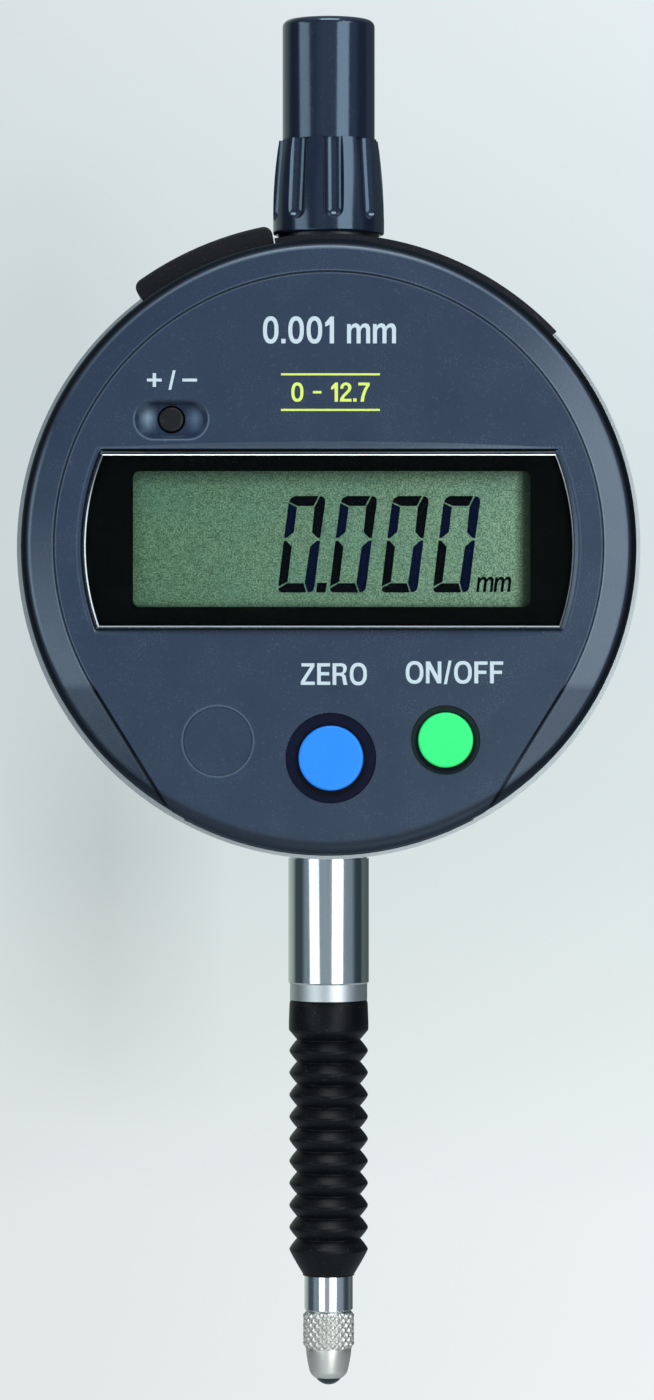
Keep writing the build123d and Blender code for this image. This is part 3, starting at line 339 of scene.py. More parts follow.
metal("contact_brass", (214, 184, 112), (180, 148, 84), 0.3, (0, 5000.0, 0))
metal("rail_brass", (204, 176, 112), (172, 144, 86), 0.32, (4000.0, 0, 5000.0))
plastic("white_ink", (188, 204, 212), (206, 220, 226), 0.5, 0.0, 0.1)
plastic("yellow_ink", (208, 228, 96), (226, 244, 120), 0.5, 0.0, 0.1)
plastic("mask_ink", (0, 1, 1), (2, 3, 4), 0.6, 0.0, 0.0, Specular_IOR_Level=0.05)
plastic("segment_ink", (1, 2, 7), (4, 6, 14), 0.6, 0.0, 0.0, Specular_IOR_Level=0.05)
plastic("segment_navy", (4, 11, 38), (8, 17, 50), 0.6, 0.0, 0.0, Specular_IOR_Level=0.05)
metal("lens_edge", (196, 204, 208), (168, 176, 182), 0.2, (3000.0, 0, 3000.0), 0.02)


def object_place(wiring):
    """Object coordinates as x, y and z."""
    place = wiring.value("ShaderNodeTexCoord", output="Object")
    return wiring.values("ShaderNodeSeparateXYZ", {0: place}).values()


def far_from(wiring, x, z, centre_x, centre_z):
    """Distance from an axis along Y."""
    across = x - centre_x
    up = z - centre_z
    return (across * across + up * up).root()


groove_radius = 26.65 * MM
crease_radius = 29.05 * MM
blank_centre = (-10.74 * MM, body_z - 18.91 * MM)
sign_centre = (-15.26 * MM, body_z + 12.29 * MM)


def cover_finish():
    """Grained cover, with painted light and shade: a painted-dark rounded edge, a painted highlight on the
    crease, painted highlights along its fine grooves, painted shade in the window recess.
    """
    material = finish(
        "cover_plastic",
        grain_tree,
        {
            "Color": srgb(36, 47, 67),
            "Mottle Color": srgb(44, 57, 80),
            "Speck Color": srgb(110, 124, 146),
            "Specks": 0.08,
            "Roughness": 0.25,
        },
        0.3,
        Specular_IOR_Level=0.8,
        Specular_Tint=(0.75, 0.92, 1.0, 1.0),
    )
    wiring, shader = opened(material)
    colour = shader.inputs["Base Color"].links[0].from_socket
    rough = shader.inputs["Roughness"].links[0].from_socket
    x, y, z = object_place(wiring)
    radius = far_from(wiring, x, z, 0.0, body_z)
    up = z - body_z
    # Painted shade: the rounded edge is painted nearly black, starting further in towards the bottom and a
    # little weaker there.
    lowest = up.rise(-20.0 * MM, -26.0 * MM)
    edge = (lowest * (0.6 * MM) + radius).rise(28.9 * MM, 29.45 * MM)
    edge = edge * (1.0 - lowest * 0.3)
    colour = wiring.mix(edge * 0.92, colour, srgb(9, 12, 18))
    rough = edge * 0.3 + rough
    # Painted highlight along the crease, over the top and, weaker, on the far left.
    upward = up.rise(12.0 * MM, 29.0 * MM) * 0.45
    leftward = x.rise(-26.5 * MM, -28.5 * MM) * 0.3
    crease_highlight = radius.band(crease_radius, 0.2 * MM) * upward.most(leftward)
    colour = wiring.mix(crease_highlight, colour, srgb(150, 168, 184))
    # Painted highlights: pale lines along both lips of the groove, above the chin.
    beside = abs(radius - groove_radius)
    groove_lip_highlights = beside.band(0.17 * MM, 0.07 * MM) * up.rise(-13.6 * MM, -12.6 * MM)
    colour = wiring.mix(groove_lip_highlights * 0.45, colour, srgb(104, 120, 140))
    # Painted highlight: a pale line on the ring mark round the blank place.
    blank_ring_highlight = far_from(wiring, x, z, *blank_centre).band(3.41 * MM, 0.2 * MM)
    colour = wiring.mix(blank_ring_highlight * 0.75, colour, srgb(92, 106, 126))
    # Painted highlight: a light line round the dark band in the window's gap, left open along its bottom.
    beside_lens = radius - lens_high.x
    over_lens = z - lens_high.z
    window_lip_highlight = beside_lens.most(over_lens).band(0.58 * MM, 0.13 * MM)
    window_lip_highlight = window_lip_highlight * z.rise(lens_low.z, lens_low.z + 1.0 * MM)
    colour = wiring.mix(window_lip_highlight * 0.3, colour, srgb(92, 108, 132))
    # Painted shade: dark lines down both sides of the chin, and a darker, duller tone outside them.
    from_side = (22.17 * MM - abs(x)) * 0.852
    chin = (up + 14.82 * MM) * 0.524 + from_side
    below = 1.0 - up.rise(-14.0 * MM, -13.2 * MM)
    chin_line_shade = (chin.band(0.0, 0.26 * MM) * 1.7).clamped() * below
    beyond_chin_shade = (1.0 - chin.rise(-0.35 * MM, 0.05 * MM)) * below
    colour = wiring.mix(beyond_chin_shade * 0.6, colour, srgb(15, 22, 36))
    # Metallic over a near-black base takes the sheen off the painted-dark edge, the chin's lines and what
    # lies outside them, which deepens this painted shade.
    dull = (edge * 0.85).most(beyond_chin_shade * 0.45).most(chin_line_shade * 0.9)
    wiring.join(dull, shader.inputs["Metallic"])
    colour = wiring.mix(chin_line_shade * 0.88, colour, srgb(6, 8, 12))
    # Painted shade: the groove's own line is painted dark, above the chin.
    groove_shade = radius.band(groove_radius, 0.13 * MM) * (1.0 - below)
    colour = wiring.mix(groove_shade * 0.85, colour, srgb(6, 8, 12))
    # Painted shade: the window recess darkens with its depth below the panel.
    depth = y - panel_y
    beside_window = abs(up) < 10.0 * MM
    within = radius < 26.2 * MM
    recess_shade = depth.rise(0.05 * MM, 0.3 * MM) * (beside_window * within)
    colour = wiring.mix(recess_shade, colour, srgb(5, 7, 9))
    near_sign = far_from(wiring, x, z, *sign_centre) < 4.2 * MM
    slot = depth.rise(0.03 * MM, 0.15 * MM) * near_sign
    rough = rough - slot * 0.16
    # Painted highlights on the slopes at both ends of the sign slot, brighter at the left end.
    from_button = abs(x - sign_centre[0])
    slot_highlights = from_button.band(2.3 * MM, 0.95 * MM) * z.band(sign_centre[1] + 0.15 * MM, 1.5 * MM)
    slot_highlights = slot_highlights * slot
    right_end = x.rise(sign_centre[0], sign_centre[0] + 0.1 * MM)
    slot_highlight_colour = wiring.mix(right_end, srgb(132, 152, 168), srgb(88, 106, 128))
    colour = wiring.mix(slot_highlights * 0.9, colour, slot_highlight_colour)
    # Painted highlight along the sign slot's lip, on its lower half.
    along_slot = (from_button - 1.65 * MM).most(0.0)
    across_slot = z - sign_centre[1]
    from_slot = (along_slot * along_slot + across_slot * across_slot).root()
    slot_lip_highlight = from_slot.band(1.97 * MM, 0.13 * MM) * (1.0 - across_slot.rise(0.3 * MM, 1.4 * MM))
    colour = wiring.mix(slot_lip_highlight * 0.6, colour, srgb(112, 130, 148))
    shaded = z.rise(sign_centre[1] + 0.5 * MM, sign_centre[1] + 1.7 * MM) * slot
    colour = wiring.mix(shaded * 0.7, colour, srgb(14, 19, 30))
    wiring.join(colour, shader.inputs["Base Color"])
    wiring.join(rough, shader.inputs["Roughness"])


def display_finish():
    """Speckled grey-green display, painted lighter towards its right, with a painted shadow of the border at
    its top and right and a faint painted shade along its bottom.
    """
    wiring, shader = opened(new_finish("display_glass"))
    place = wiring.value("ShaderNodeTexCoord", output="Object")
    x, y, z = object_place(wiring)
    fine = wiring.noise(place, 6500.0, 1.0)
    coarse = wiring.noise(place, 2400.0, 2.0)
    broad = wiring.noise(place, 180.0, 2.0)
    speckle = fine * 0.72 + coarse * 0.28
    speckle = ((speckle - 0.5) * 4.4 + 0.46).clamped()
    # Painted light: both tones of the display are painted lighter towards its right.
    across = x.rise(display_low.x, display_high.x)
    dim = wiring.mix(across, srgb(68, 87, 69), srgb(95, 118, 96))
    lit = wiring.mix(across, srgb(123, 148, 122), srgb(174, 189, 166))
    colour = wiring.mix(speckle, dim, lit)
    tint = broad.rise(0.4, 0.65) * 0.16
    colour = wiring.mix(tint, colour, srgb(86, 128, 124))
    # Painted shadow of the border at the display's top and right, and a faint painted shade along its bottom.
    top_shade = z.rise(display_high.z - 2.5 * MM, display_high.z - 1.3 * MM)
    right_shade = x.rise(display_high.x - 2.7 * MM, display_high.x - 1.7 * MM)
    low_shade = 1.0 - z.rise(display_low.z + 1.0 * MM, display_low.z + 1.7 * MM)
    shade = (top_shade * 0.45).most(right_shade * 0.9)
    shade = shade.most(low_shade * 0.3)
    colour = wiring.mix(shade, colour, srgb(22, 28, 22))
    wiring.join(colour, shader.inputs["Base Color"])
    wiring.join(fine * 0.1 + 0.5, shader.inputs["Roughness"])
    shader.inputs["Specular IOR Level"].default_value = 0.15


def ring_finish(name, colour, mottle, node, cap_radius, gap_width):
    """Ring round a button, with painted shade, nearly black, in the gap beside its cap."""
    material = plastic(name, colour, mottle, 0.4, 0.02, 0.1, Specular_IOR_Level=0.1)
    wiring, shader = opened(material)
    ring_low, ring_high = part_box(node)
    x, y, z = object_place(wiring)
    # The gap's shade reaches a little further below the cap than above it.
    radius = far_from(wiring, x, z, (ring_low.x + ring_high.x) / 2, (ring_low.z + ring_high.z) / 2 - 0.2 * MM)
    gap = 1.0 - radius.rise(cap_radius + 0.15 * MM, cap_radius + gap_width)
    base = shader.inputs["Base Color"].links[0].from_socket
    dark = wiring.mix(gap * 0.9, base, srgb(0, 2, 14))
    wiring.join(dark, shader.inputs["Base Color"])


ring_finish("zero_ring", (7, 12, 34), (11, 17, 44), "zero_button_ring", 3.15 * MM, 0.6 * MM)
ring_finish("power_ring", (20, 36, 35), (28, 46, 44), "power_button_ring", 2.67 * MM, 0.42 * MM)
cover_finish()
display_finish()


def clear_window():
    """Clear lens: glass that lets lamp light through to the display."""
    wiring, shader = opened(new_finish("lens_clear"))
    smear = wiring.noise(wiring.value("ShaderNodeTexCoord", output="Object"), 160.0, 3.0)
    wiring.join(smear * 0.05, shader.inputs["Roughness"])
    shader.inputs["Base Color"].default_value = srgb(232, 242, 238)
    shader.inputs["Transmission Weight"].default_value = 1.0
    shader.inputs["IOR"].default_value = 1.3
    passing = wiring.node("ShaderNodeBsdfTransparent", {"Color": srgb(240, 248, 244)})
    paths = wiring.values("ShaderNodeLightPath")
    unbent = paths["Is Shadow Ray"].most(paths["Is Diffuse Ray"])
    mixed = wiring.node("ShaderNodeMixShader", {0: unbent, 1: shader.outputs[0], 2: passing.outputs[0]})
    wiring.join(mixed.outputs[0], wiring.tree.nodes["Material Output"].inputs["Surface"])


clear_window()
for entry in frame["record"]["subparts"]:
    mesh = nodes[entry["node"]].data
    mesh.materials.clear()
    mesh.materials.append(finishes[entry["material_slot"]])


# Pieces made in mesh code

def add_piece(name, mesh, slot, body, material=None):
    """Puts a finished mesh in the scene, with its finish and the body that it moves with."""
    piece = put(name, mesh)
    mesh.materials.clear()
    mesh.materials.append(finishes[material or slot])
    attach(piece, body)
    return piece


def plate(outline, back_y, front_y, bevel=0.0):
    """Flat plate facing -Y from an outline of (x, z) points, with its front edge bevelled when a bevel is
    given.
    """
    work = bmesh.new()
    back = [work.verts.new((x, back_y, z)) for x, z in outline]
    front = [work.verts.new((x, front_y, z)) for x, z in outline]
    top = work.faces.new(front)
    work.faces.new(list(reversed(back)))
    for i in range(len(outline)):
        j = (i + 1) % len(outline)
        work.faces.new((back[i], back[j], front[j], front[i]))
    bmesh.ops.recalc_face_normals(work, faces=work.faces)
    if bevel:
        bmesh.ops.bevel(work, geom=list(top.edges), offset=bevel, segments=2, affect="EDGES", profile=0.6)
    return work


def to_mesh(name, work, smooth=False):
    mesh = bpy.data.meshes.new(name)
    work.to_mesh(mesh)
    work.free()
    if smooth:
        for polygon in mesh.polygons:
            polygon.use_smooth = True
    return mesh


def joined(name, works):
    """One mesh from several."""
    whole = bmesh.new()
    for work in works:
        part = bpy.data.meshes.new("part")
        work.to_mesh(part)
        work.free()
        whole.from_mesh(part)
        bpy.data.meshes.remove(part)
    return to_mesh(name, whole)


def arc(radius, start, end, steps, centre=(0.0, 0.0)):
    """Points of a circle from one angle to another, in degrees."""
    angles = [math.radians(start + (end - start) * i / steps) for i in range(steps + 1)]
    return [(centre[0] + radius * math.cos(a), centre[1] + radius * math.sin(a)) for a in angles]


def window_outline(right_radius, left_radius, top, bottom):
    """Outline of the window about the body's axis, in metres, from lower right round to upper right."""
    outline = []
    for radius, turn in ((right_radius, 1), (left_radius, -1)):
        upper = math.degrees(math.asin(top / radius))
        lower = math.degrees(math.asin(bottom / radius))
        outline += arc(radius, -lower, upper, 32) if turn > 0 else arc(radius, 180 - upper, 180 + lower, 32)
    return [(x, body_z + z) for x, z in outline]


def rounded_rectangle(width, height, corner, centre, steps=10):
    """Outline of a rectangle with round corners."""
    points = []
    for turn, (sx, sz) in enumerate(((1, 1), (-1, 1), (-1, -1), (1, -1))):
        middle = (centre[0] + sx * (width / 2 - corner), centre[1] + sz * (height / 2 - corner))
        points += arc(corner, 90 * turn, 90 * turn + 90, steps, middle)
    return points


# Lens with bevelled edges over a printed border

window_radius = lens_high.x
window_top = lens_high.z - body_z
window_bottom = body_z - lens_low.z
lens_outline = window_outline(window_radius, window_radius, window_top, window_bottom)
wide_bevel = 0.27 * MM
narrow_bevel = 0.18 * MM
inset_outline = window_outline(
    window_radius - narrow_bevel, window_radius - wide_bevel,
    window_top - narrow_bevel, window_bottom - wide_bevel,
)
mask_front_y = lens_high.y - 0.03 * MM
lens_work = plate(inset_outline, mask_front_y, lens_low.y)
lens = add_piece("window_glass", to_mesh("window_glass", lens_work), "lens_clear", "body")
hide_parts("window_lens")


def edge_band(outer, inner, outer_y, inner_y, back_y):
    """Closed band between two outlines with the same number of points, its front sloping outwards."""
    work = bmesh.new()
    rows = []
    for points, y in ((outer, outer_y), (inner, inner_y), (inner, back_y), (outer, back_y)):
        rows.append([work.verts.new((x, y, z)) for x, z in points])
    for row, following in zip(rows, rows[1:] + rows[:1]):
        for i in range(len(outer)):
            j = (i + 1) % len(outer)
            work.faces.new((row[i], row[j], following[j], following[i]))
    bmesh.ops.recalc_face_normals(work, faces=work.faces)
    return work


edge_work = edge_band(lens_outline, inset_outline, lens_low.y + 0.11 * MM, lens_low.y, mask_front_y)
add_piece("window_glass_edge", to_mesh("window_glass_edge", edge_work), "lens_clear", "body", "lens_edge")

# Painted shade: a black band set in the gap round the lens, where that gap lies in shade.
shade_band_outline = window_outline(
    window_radius + 0.5 * MM, window_radius + 0.12 * MM, window_top + 0.4 * MM, window_bottom + 0.1 * MM
)
shade_band_work = edge_band(
    shade_band_outline, lens_outline, panel_y - 0.01 * MM, lens_low.y + 0.09 * MM, lens_low.y + 0.2 * MM
)
add_piece("window_shade_band", to_mesh("window_shade_band", shade_band_work), "seal_rubber", "body", "mask_ink")

view_centre = ((display_low.x + display_high.x) / 2, (display_low.z + display_high.z) / 2)
view_outline = rounded_rectangle(
    display_high.x - display_low.x - 2.2 * MM, display_high.z - display_low.z - 2.42 * MM, 0.65 * MM,
    (view_centre[0], view_centre[1] + 0.11 * MM),
)


def frame_plate(outer, inner, back_y, front_y):
    """Flat plate with one opening; both outlines are read round the same centre."""
    def by_angle(points):
        return sorted(points, key=lambda p: math.atan2(p[1] - view_centre[1], p[0] - view_centre[0]))
    work = bmesh.new()
    rings = []
    for y in (back_y, front_y):
        for points in (by_angle(outer), by_angle(inner)):
            rings.append([work.verts.new((x, y, z)) for x, z in points])
    outer_back, inner_back, outer_front, inner_front = rings
    for outer_ring, inner_ring in ((outer_back, inner_back), (outer_front, inner_front)):
        edges = []
        for ring in (outer_ring, inner_ring):
            edges += [work.edges.new((ring[i], ring[(i + 1) % len(ring)])) for i in range(len(ring))]
        bmesh.ops.triangle_fill(work, edges=edges, use_beauty=True)
    for low, high in ((outer_back, outer_front), (inner_back, inner_front)):
        for i in range(len(low)):
            j = (i + 1) % len(low)
            work.faces.new((low[i], low[j], high[j], high[i]))
    bmesh.ops.recalc_face_normals(work, faces=work.faces)
    return work


border_work = frame_plate(lens_outline, view_outline, lens_high.y, mask_front_y + 0.005 * MM)
add_piece("window_border", to_mesh("window_border", border_work), "lens_clear", "body", "mask_ink")

# Display figures. One figure is drawn in sixtieths of a millimetre or so, upright, and then slanted.

figure_unit = MM / 57.5
figure_slant = 0.130
figure_pitch = 289
figure_origin = (-5.03 * MM, 32.28 * MM)
print_depth = 0.02 * MM
segment_front_y = display_low.y - print_depth
segments = (
    ((2, 507), (10, 528), (30, 540), (163, 540), (142, 484), (54, 484)),
    ((148, 478), (172, 540), (190, 535), (202, 519), (205, 500), (203, 305), (188, 304), (152, 338)),
    ((0, 500), (50, 477), (51, 338), (15, 305), (0, 305)),
    ((0, 288), (14, 290), (50, 256), (52, 60), (3, 34)),
    ((204, 290), (186, 290), (152, 256), (148, 54), (172, 2), (190, 3), (202, 14), (206, 38)),
    ((4, 22), (50, 52), (142, 52), (164, 0), (26, 0), (10, 7)),
)
point_mark = ((219, 0), (272, 0), (272, 54), (219, 54))


def drawn(points, shift):
    return [
        (
            figure_origin[0] + (x + shift + figure_slant * z) * figure_unit,
            figure_origin[1] + z * figure_unit,
        )
        for x, z in points
    ]


navy_segments = ((2, 4), (2, 4), (2, 4), (1, 2, 4))
black_works = [plate(drawn(point_mark, 0), display_low.y, segment_front_y)]
navy_works = []
for figure in range(4):
    for number, segment in enumerate(segments):
        inked = navy_works if number in navy_segments[figure] else black_works
        inked.append(plate(drawn(segment, figure * figure_pitch), display_low.y, segment_front_y))
for name, works, ink in (
    ("display_figures", black_works, "segment_ink"), ("display_figures_navy", navy_works, "segment_navy")
):
    add_piece(name, joined(name, works), "display_glass", "body", ink)


def oval(centre_x, centre_z, across, up, steps=36):
    """Outline of a squarish oval."""
    points = []
    for i in range(steps):
        turned = 2 * math.pi * i / steps
        c, s = math.cos(turned), math.sin(turned)
        points.append((
            centre_x + across * math.copysign(abs(c) ** 0.85, c),
            centre_z + up * math.copysign(abs(s) ** 0.85, s),
        ))
    return points


def box_outline(left, low, right, high):
    return ((left, low), (right, low), (right, high), (left, high))


# Printed characters as outlines, 100 units tall, each with its width.
characters = {
    "O": (78, (oval(39, 50, 39, 52), oval(39, 50, 23, 36))),
    "0": (62, (oval(31, 50, 31, 51), oval(31, 50, 15, 35))),
    "N": (68, (((0, 0), (0, 100), (18, 100), (52, 34), (52, 100), (68, 100), (68, 0), (50, 0), (16, 66),
        (16, 0)),)),
    "F": (58, (((0, 0), (0, 100), (58, 100), (58, 85), (17, 85), (17, 58), (53, 58), (53, 43), (17, 43),
        (17, 0)),)),
    "E": (60, (((0, 0), (0, 100), (59, 100), (59, 85), (17, 85), (17, 59), (55, 59), (55, 44), (17, 44),
        (17, 15), (60, 15), (60, 0)),)),
    "Z": (64, (((0, 0), (0, 15), (44, 85), (3, 85), (3, 100), (63, 100), (63, 86), (19, 15), (64, 15),
        (64, 0)),)),
    "R": (68, (((0, 0), (0, 100), (42, 100), (56, 96), (64, 86), (65, 72), (60, 58), (50, 50), (60, 42),
        (63, 20), (68, 0), (50, 0), (46, 22), (44, 36), (36, 42), (17, 42), (17, 0)), ((17, 56), (17, 86),
        (38, 86), (47, 82), (49, 71), (46, 60), (38, 56)))),
    "/": (34, (((0, -4), (21, 104), (34, 104), (13, -4)),)),
    "+": (70, (((0, 42), (0, 58), (27, 58), (27, 88), (43, 88), (43, 58), (70, 58), (70, 42), (43, 42),
        (43, 12), (27, 12), (27, 42)),)),
    "-": (70, (box_outline(0, 42, 70, 58),)),
    "_": (44, (box_outline(0, 43, 44, 56),)),
    ".": (17, (box_outline(0, 0, 17, 17),)),
    "1": (36, (((19, 0), (19, 70), (1, 62), (1, 77), (22, 100), (36, 100), (36, 0)),)),
    "2": (60, (((2, 68), (6, 87), (18, 98), (32, 101), (48, 97), (58, 86), (60, 71), (54, 56), (40, 40),
        (26, 26), (21, 15), (60, 15), (60, 0), (0, 0), (3, 18), (14, 35), (30, 51), (41, 63), (43, 74),
        (40, 83), (31, 87), (23, 84), (19, 76), (18, 68)),)),
    "7": (58, (((0, 100), (58, 100), (58, 86), (41, 56), (32, 26), (28, 0), (11, 0), (15, 28), (25, 58),
        (40, 85), (0, 85)),)),
    "m": (92, (((0, 0), (0, 72), (15, 72), (15, 63), (23, 72), (35, 75), (46, 71), (52, 62), (61, 72),
        (73, 75), (85, 71), (92, 58), (92, 0), (76, 0), (76, 52), (73, 59), (66, 60), (58, 55), (54, 46),
        (54, 0), (38, 0), (38, 52), (35, 59), (28, 60), (20, 55), (16, 46), (16, 0)),)),
    " ": (30, ()),
}


def lettering(name, text, centre_x, low, width, height, lean=0.0, gap=11, y=panel_y, slot="cover_plastic",
              ink="white_ink"):
    """Printed characters standing on y, centred across and this wide and tall in millimetres."""
    curve = bpy.data.curves.new(name, "CURVE")
    curve.dimensions = "2D"
    curve.fill_mode = "BOTH"
    curve.extrude = 1.0
    reach = 0
    for character in text:
        wide, outlines = characters[character]
        for outline in outlines:
            spline = curve.splines.new("POLY")
            spline.points.add(len(outline) - 1)
            for point, (x, z) in zip(spline.points, outline):
                point.co = (reach + x + lean * z, z, 0, 1)
            spline.use_cyclic_u = True
        reach += wide + gap
    reach -= gap
    printed = put(name, curve)
    bpy.context.view_layer.update()
    mesh = bpy.data.meshes.new_from_object(printed.evaluated_get(bpy.context.evaluated_depsgraph_get()))
    bpy.data.objects.remove(printed)
    left = centre_x - width / 2
    for vertex in mesh.vertices:
        x, z, out = vertex.co
        front_y = y - (out + 1) / 2 * print_depth
        vertex.co = ((left + x * width / reach) * MM, front_y, (low + z * height / 100) * MM)
    work = bmesh.new()
    work.from_mesh(mesh)
    bmesh.ops.remove_doubles(work, verts=work.verts, dist=1e-7)
    bmesh.ops.recalc_face_normals(work, faces=work.faces)
    bpy.data.meshes.remove(mesh)
    add_piece(name, to_mesh(name, work), slot, "body", ink)


lettering("display_unit", "mm", 16.0, 32.33, 3.3, 2.0, 0.13, 6, display_low.y, "display_glass", "segment_ink")
lettering("sign_label", "+ / -", -15.18, 51.97, 4.85, 1.75, gap=1)
lettering("power_label", "ON/OFF", 12.19, 23.45, 9.45, 2.12)
lettering("zero_label", "ZERO", 0.5, 23.3, 6.4, 2.1)
lettering("step_label", "0.001 mm", 0.08, 56.4, 12.9, 2.6)
lettering("range_label", "0 _ 12.7", 0.18, 50.75, 7.6, 1.85, gap=9, ink="yellow_ink")
range_lines = []
for low in (53.3, 49.85):
    outline = [(x * MM, z * MM) for x, z in box_outline(-4.62, low, 4.97, low + 0.2)]
    range_lines.append(plate(outline, panel_y, panel_y - print_depth))
add_piece("range_lines", joined("range_lines", range_lines), "cover_plastic", "body", "yellow_ink")


# Repeating and regular pieces, from geometry node trees, and a turned collar

class Growing(Wiring):
    """Wiring of a geometry node tree with named inputs."""

    def __init__(self, name, inputs):
        tree = bpy.data.node_groups.new(name, "GeometryNodeTree")
        super().__init__(tree)
        for label, kind, value in inputs:
            tree.interface.new_socket(label, in_out="INPUT", socket_type=kind).default_value = value
        tree.interface.new_socket("Material", in_out="INPUT", socket_type="NodeSocketMaterial")
        tree.interface.new_socket("Geometry", in_out="OUTPUT", socket_type="NodeSocketGeometry")
        self.given = self.values("NodeGroupInput")

    def close(self, geometry):
        """Smooth faces, real geometry and the material, and then the tree's output."""
        smooth = self.node("GeometryNodeSetShadeSmooth", {"Geometry": geometry})
        real = self.node("GeometryNodeRealizeInstances", {"Geometry": smooth.outputs[0]})
        inputs = {"Geometry": real.outputs[0], "Material": self.given["Material"]}
        painted = self.node("GeometryNodeSetMaterial", inputs)
        self.node("NodeGroupOutput", {"Geometry": painted.outputs[0]})

    def combine(self, x, y, z):
        return self.value("ShaderNodeCombineXYZ", {0: x, 1: y, 2: z})


def grown(name, growing, values, slot, body, material=None):
    """Piece made by a geometry node tree with these values, as a plain mesh."""
    holder = put(name + "_tree", bpy.data.meshes.new(name + "_tree"))
    modifier = holder.modifiers.new("tree", "NODES")
    modifier.node_group = growing.tree
    items = growing.tree.interface.items_tree
    sockets = {item.name: item.identifier for item in items if item.in_out == "INPUT"}
    for label, value in values.items():
        modifier[sockets[label]] = value
    modifier[sockets["Material"]] = finishes[material or slot]
    bpy.context.view_layer.update()
    mesh = bpy.data.meshes.new_from_object(holder.evaluated_get(bpy.context.evaluated_depsgraph_get()))
    holder.modifiers.remove(modifier)
    bpy.data.objects.remove(holder)
    work = bmesh.new()
    work.from_mesh(mesh)
    bmesh.ops.remove_doubles(work, verts=work.verts, dist=1e-7)
    bmesh.ops.dissolve_degenerate(work, edges=work.edges, dist=1e-8)
    bmesh.ops.recalc_face_normals(work, faces=work.faces)
    work.to_mesh(mesh)
    work.free()
    return add_piece(name, mesh, slot, body, material)


def tube_grid(grow, rows, steps):
    """Grid to be bent round Z. Gives its geometry, each point's angle, its share of the way down the wall,
    and whether it is in the first or the last row, which turn in and close the piece."""
    inputs = {"Size X": 1.0, "Size Y": 1.0, "Vertices X": steps + 1, "Vertices Y": rows}
    grid = grow.value("GeometryNodeMeshGrid", inputs)
    place = grow.values("ShaderNodeSeparateXYZ", {0: grow.value("GeometryNodeInputPosition")})
    down = place["Y"] + 0.5
    turned = (place["X"] + 0.5) * (2 * math.pi)
    row_share = 1 / (rows - 1)
    along = ((down - row_share) / (1 - 2 * row_share)).clamped()
    nearly_none = 0.0005
    at_end = (down < nearly_none) + (down > 1 - nearly_none)
    return grid, turned, along, at_end


def wrap(grow, grid, radius, height, turned):
    """Bends the grid round Z at these radii and heights, and joins its seam and its ends."""
    place = grow.combine(radius * turned.cosine(), radius * turned.sine(), height)
    bent = grow.node("GeometryNodeSetPosition", {"Geometry": grid, "Position": place})
    merged = grow.node("GeometryNodeMergeByDistance", {"Geometry": bent.outputs[0], "Distance": 1e-7})
    grow.close(merged.outputs[0])


def choose(grow, condition, if_false, if_true):
    inputs = {"Switch": condition, "False": if_false, "True": if_true}
    return grow.value("GeometryNodeSwitch", inputs, input_type="FLOAT")


def bellows_tree():
    """Folded boot about Z: a cone, a ridge and a rounded valley on each fold, a plain tail, and a bore."""
    grow = Growing(
        "bellows",
        (
            ("Top", FLOAT, 0.0), ("Length", FLOAT, 0.02), ("Folds", FLOAT, 10.0),
            ("Peak Radius", FLOAT, 0.0039), ("Valley Radius", FLOAT, 0.0032), ("Bore Radius", FLOAT, 0.0026),
            ("Top Radius", FLOAT, 0.0039), ("Top Length", FLOAT, 0.001), ("End Length", FLOAT, 0.002),
            ("End Radius", FLOAT, 0.0026),
        ),
    )
    given = grow.given
    grid, turned, along, at_end = tube_grid(grow, 402, 96)
    reach = along * given["Length"]
    folded = given["Length"] - given["Top Length"] - given["End Length"]
    share = (reach - given["Top Length"]) / folded
    phase = (share * given["Folds"]).fraction()
    to_valley = abs(phase * 2.0 - 1.0)
    ridge = 1.0 - to_valley ** 1.25
    ridge = (ridge * 1.04).clamped()
    swell = given["Peak Radius"] - given["Valley Radius"]
    fold_radius = grow.math("MULTIPLY_ADD", ridge, swell, given["Valley Radius"])
    in_folds = (share > 0.0) * (share < 1.0)
    before_end = given["Length"] - given["End Length"]
    end_share = ((reach - before_end) / given["End Length"]).clamped()
    taper = given["Peak Radius"] - given["End Radius"]
    end_share = (end_share ** 1.1 * 1.06).clamped()
    end_radius = given["Peak Radius"] - end_share * taper
    top_share = (reach / given["Top Length"]).clamped()
    flare = given["Top Radius"] - given["Valley Radius"]
    top_radius = given["Top Radius"] - top_share * flare
    plain_radius = choose(grow, share > 0.5, top_radius, end_radius)
    outer = choose(grow, in_folds, plain_radius, fold_radius)
    radius = choose(grow, at_end, outer, given["Bore Radius"])
    wrap(grow, grid, radius, given["Top"] - reach, turned)
    return grow


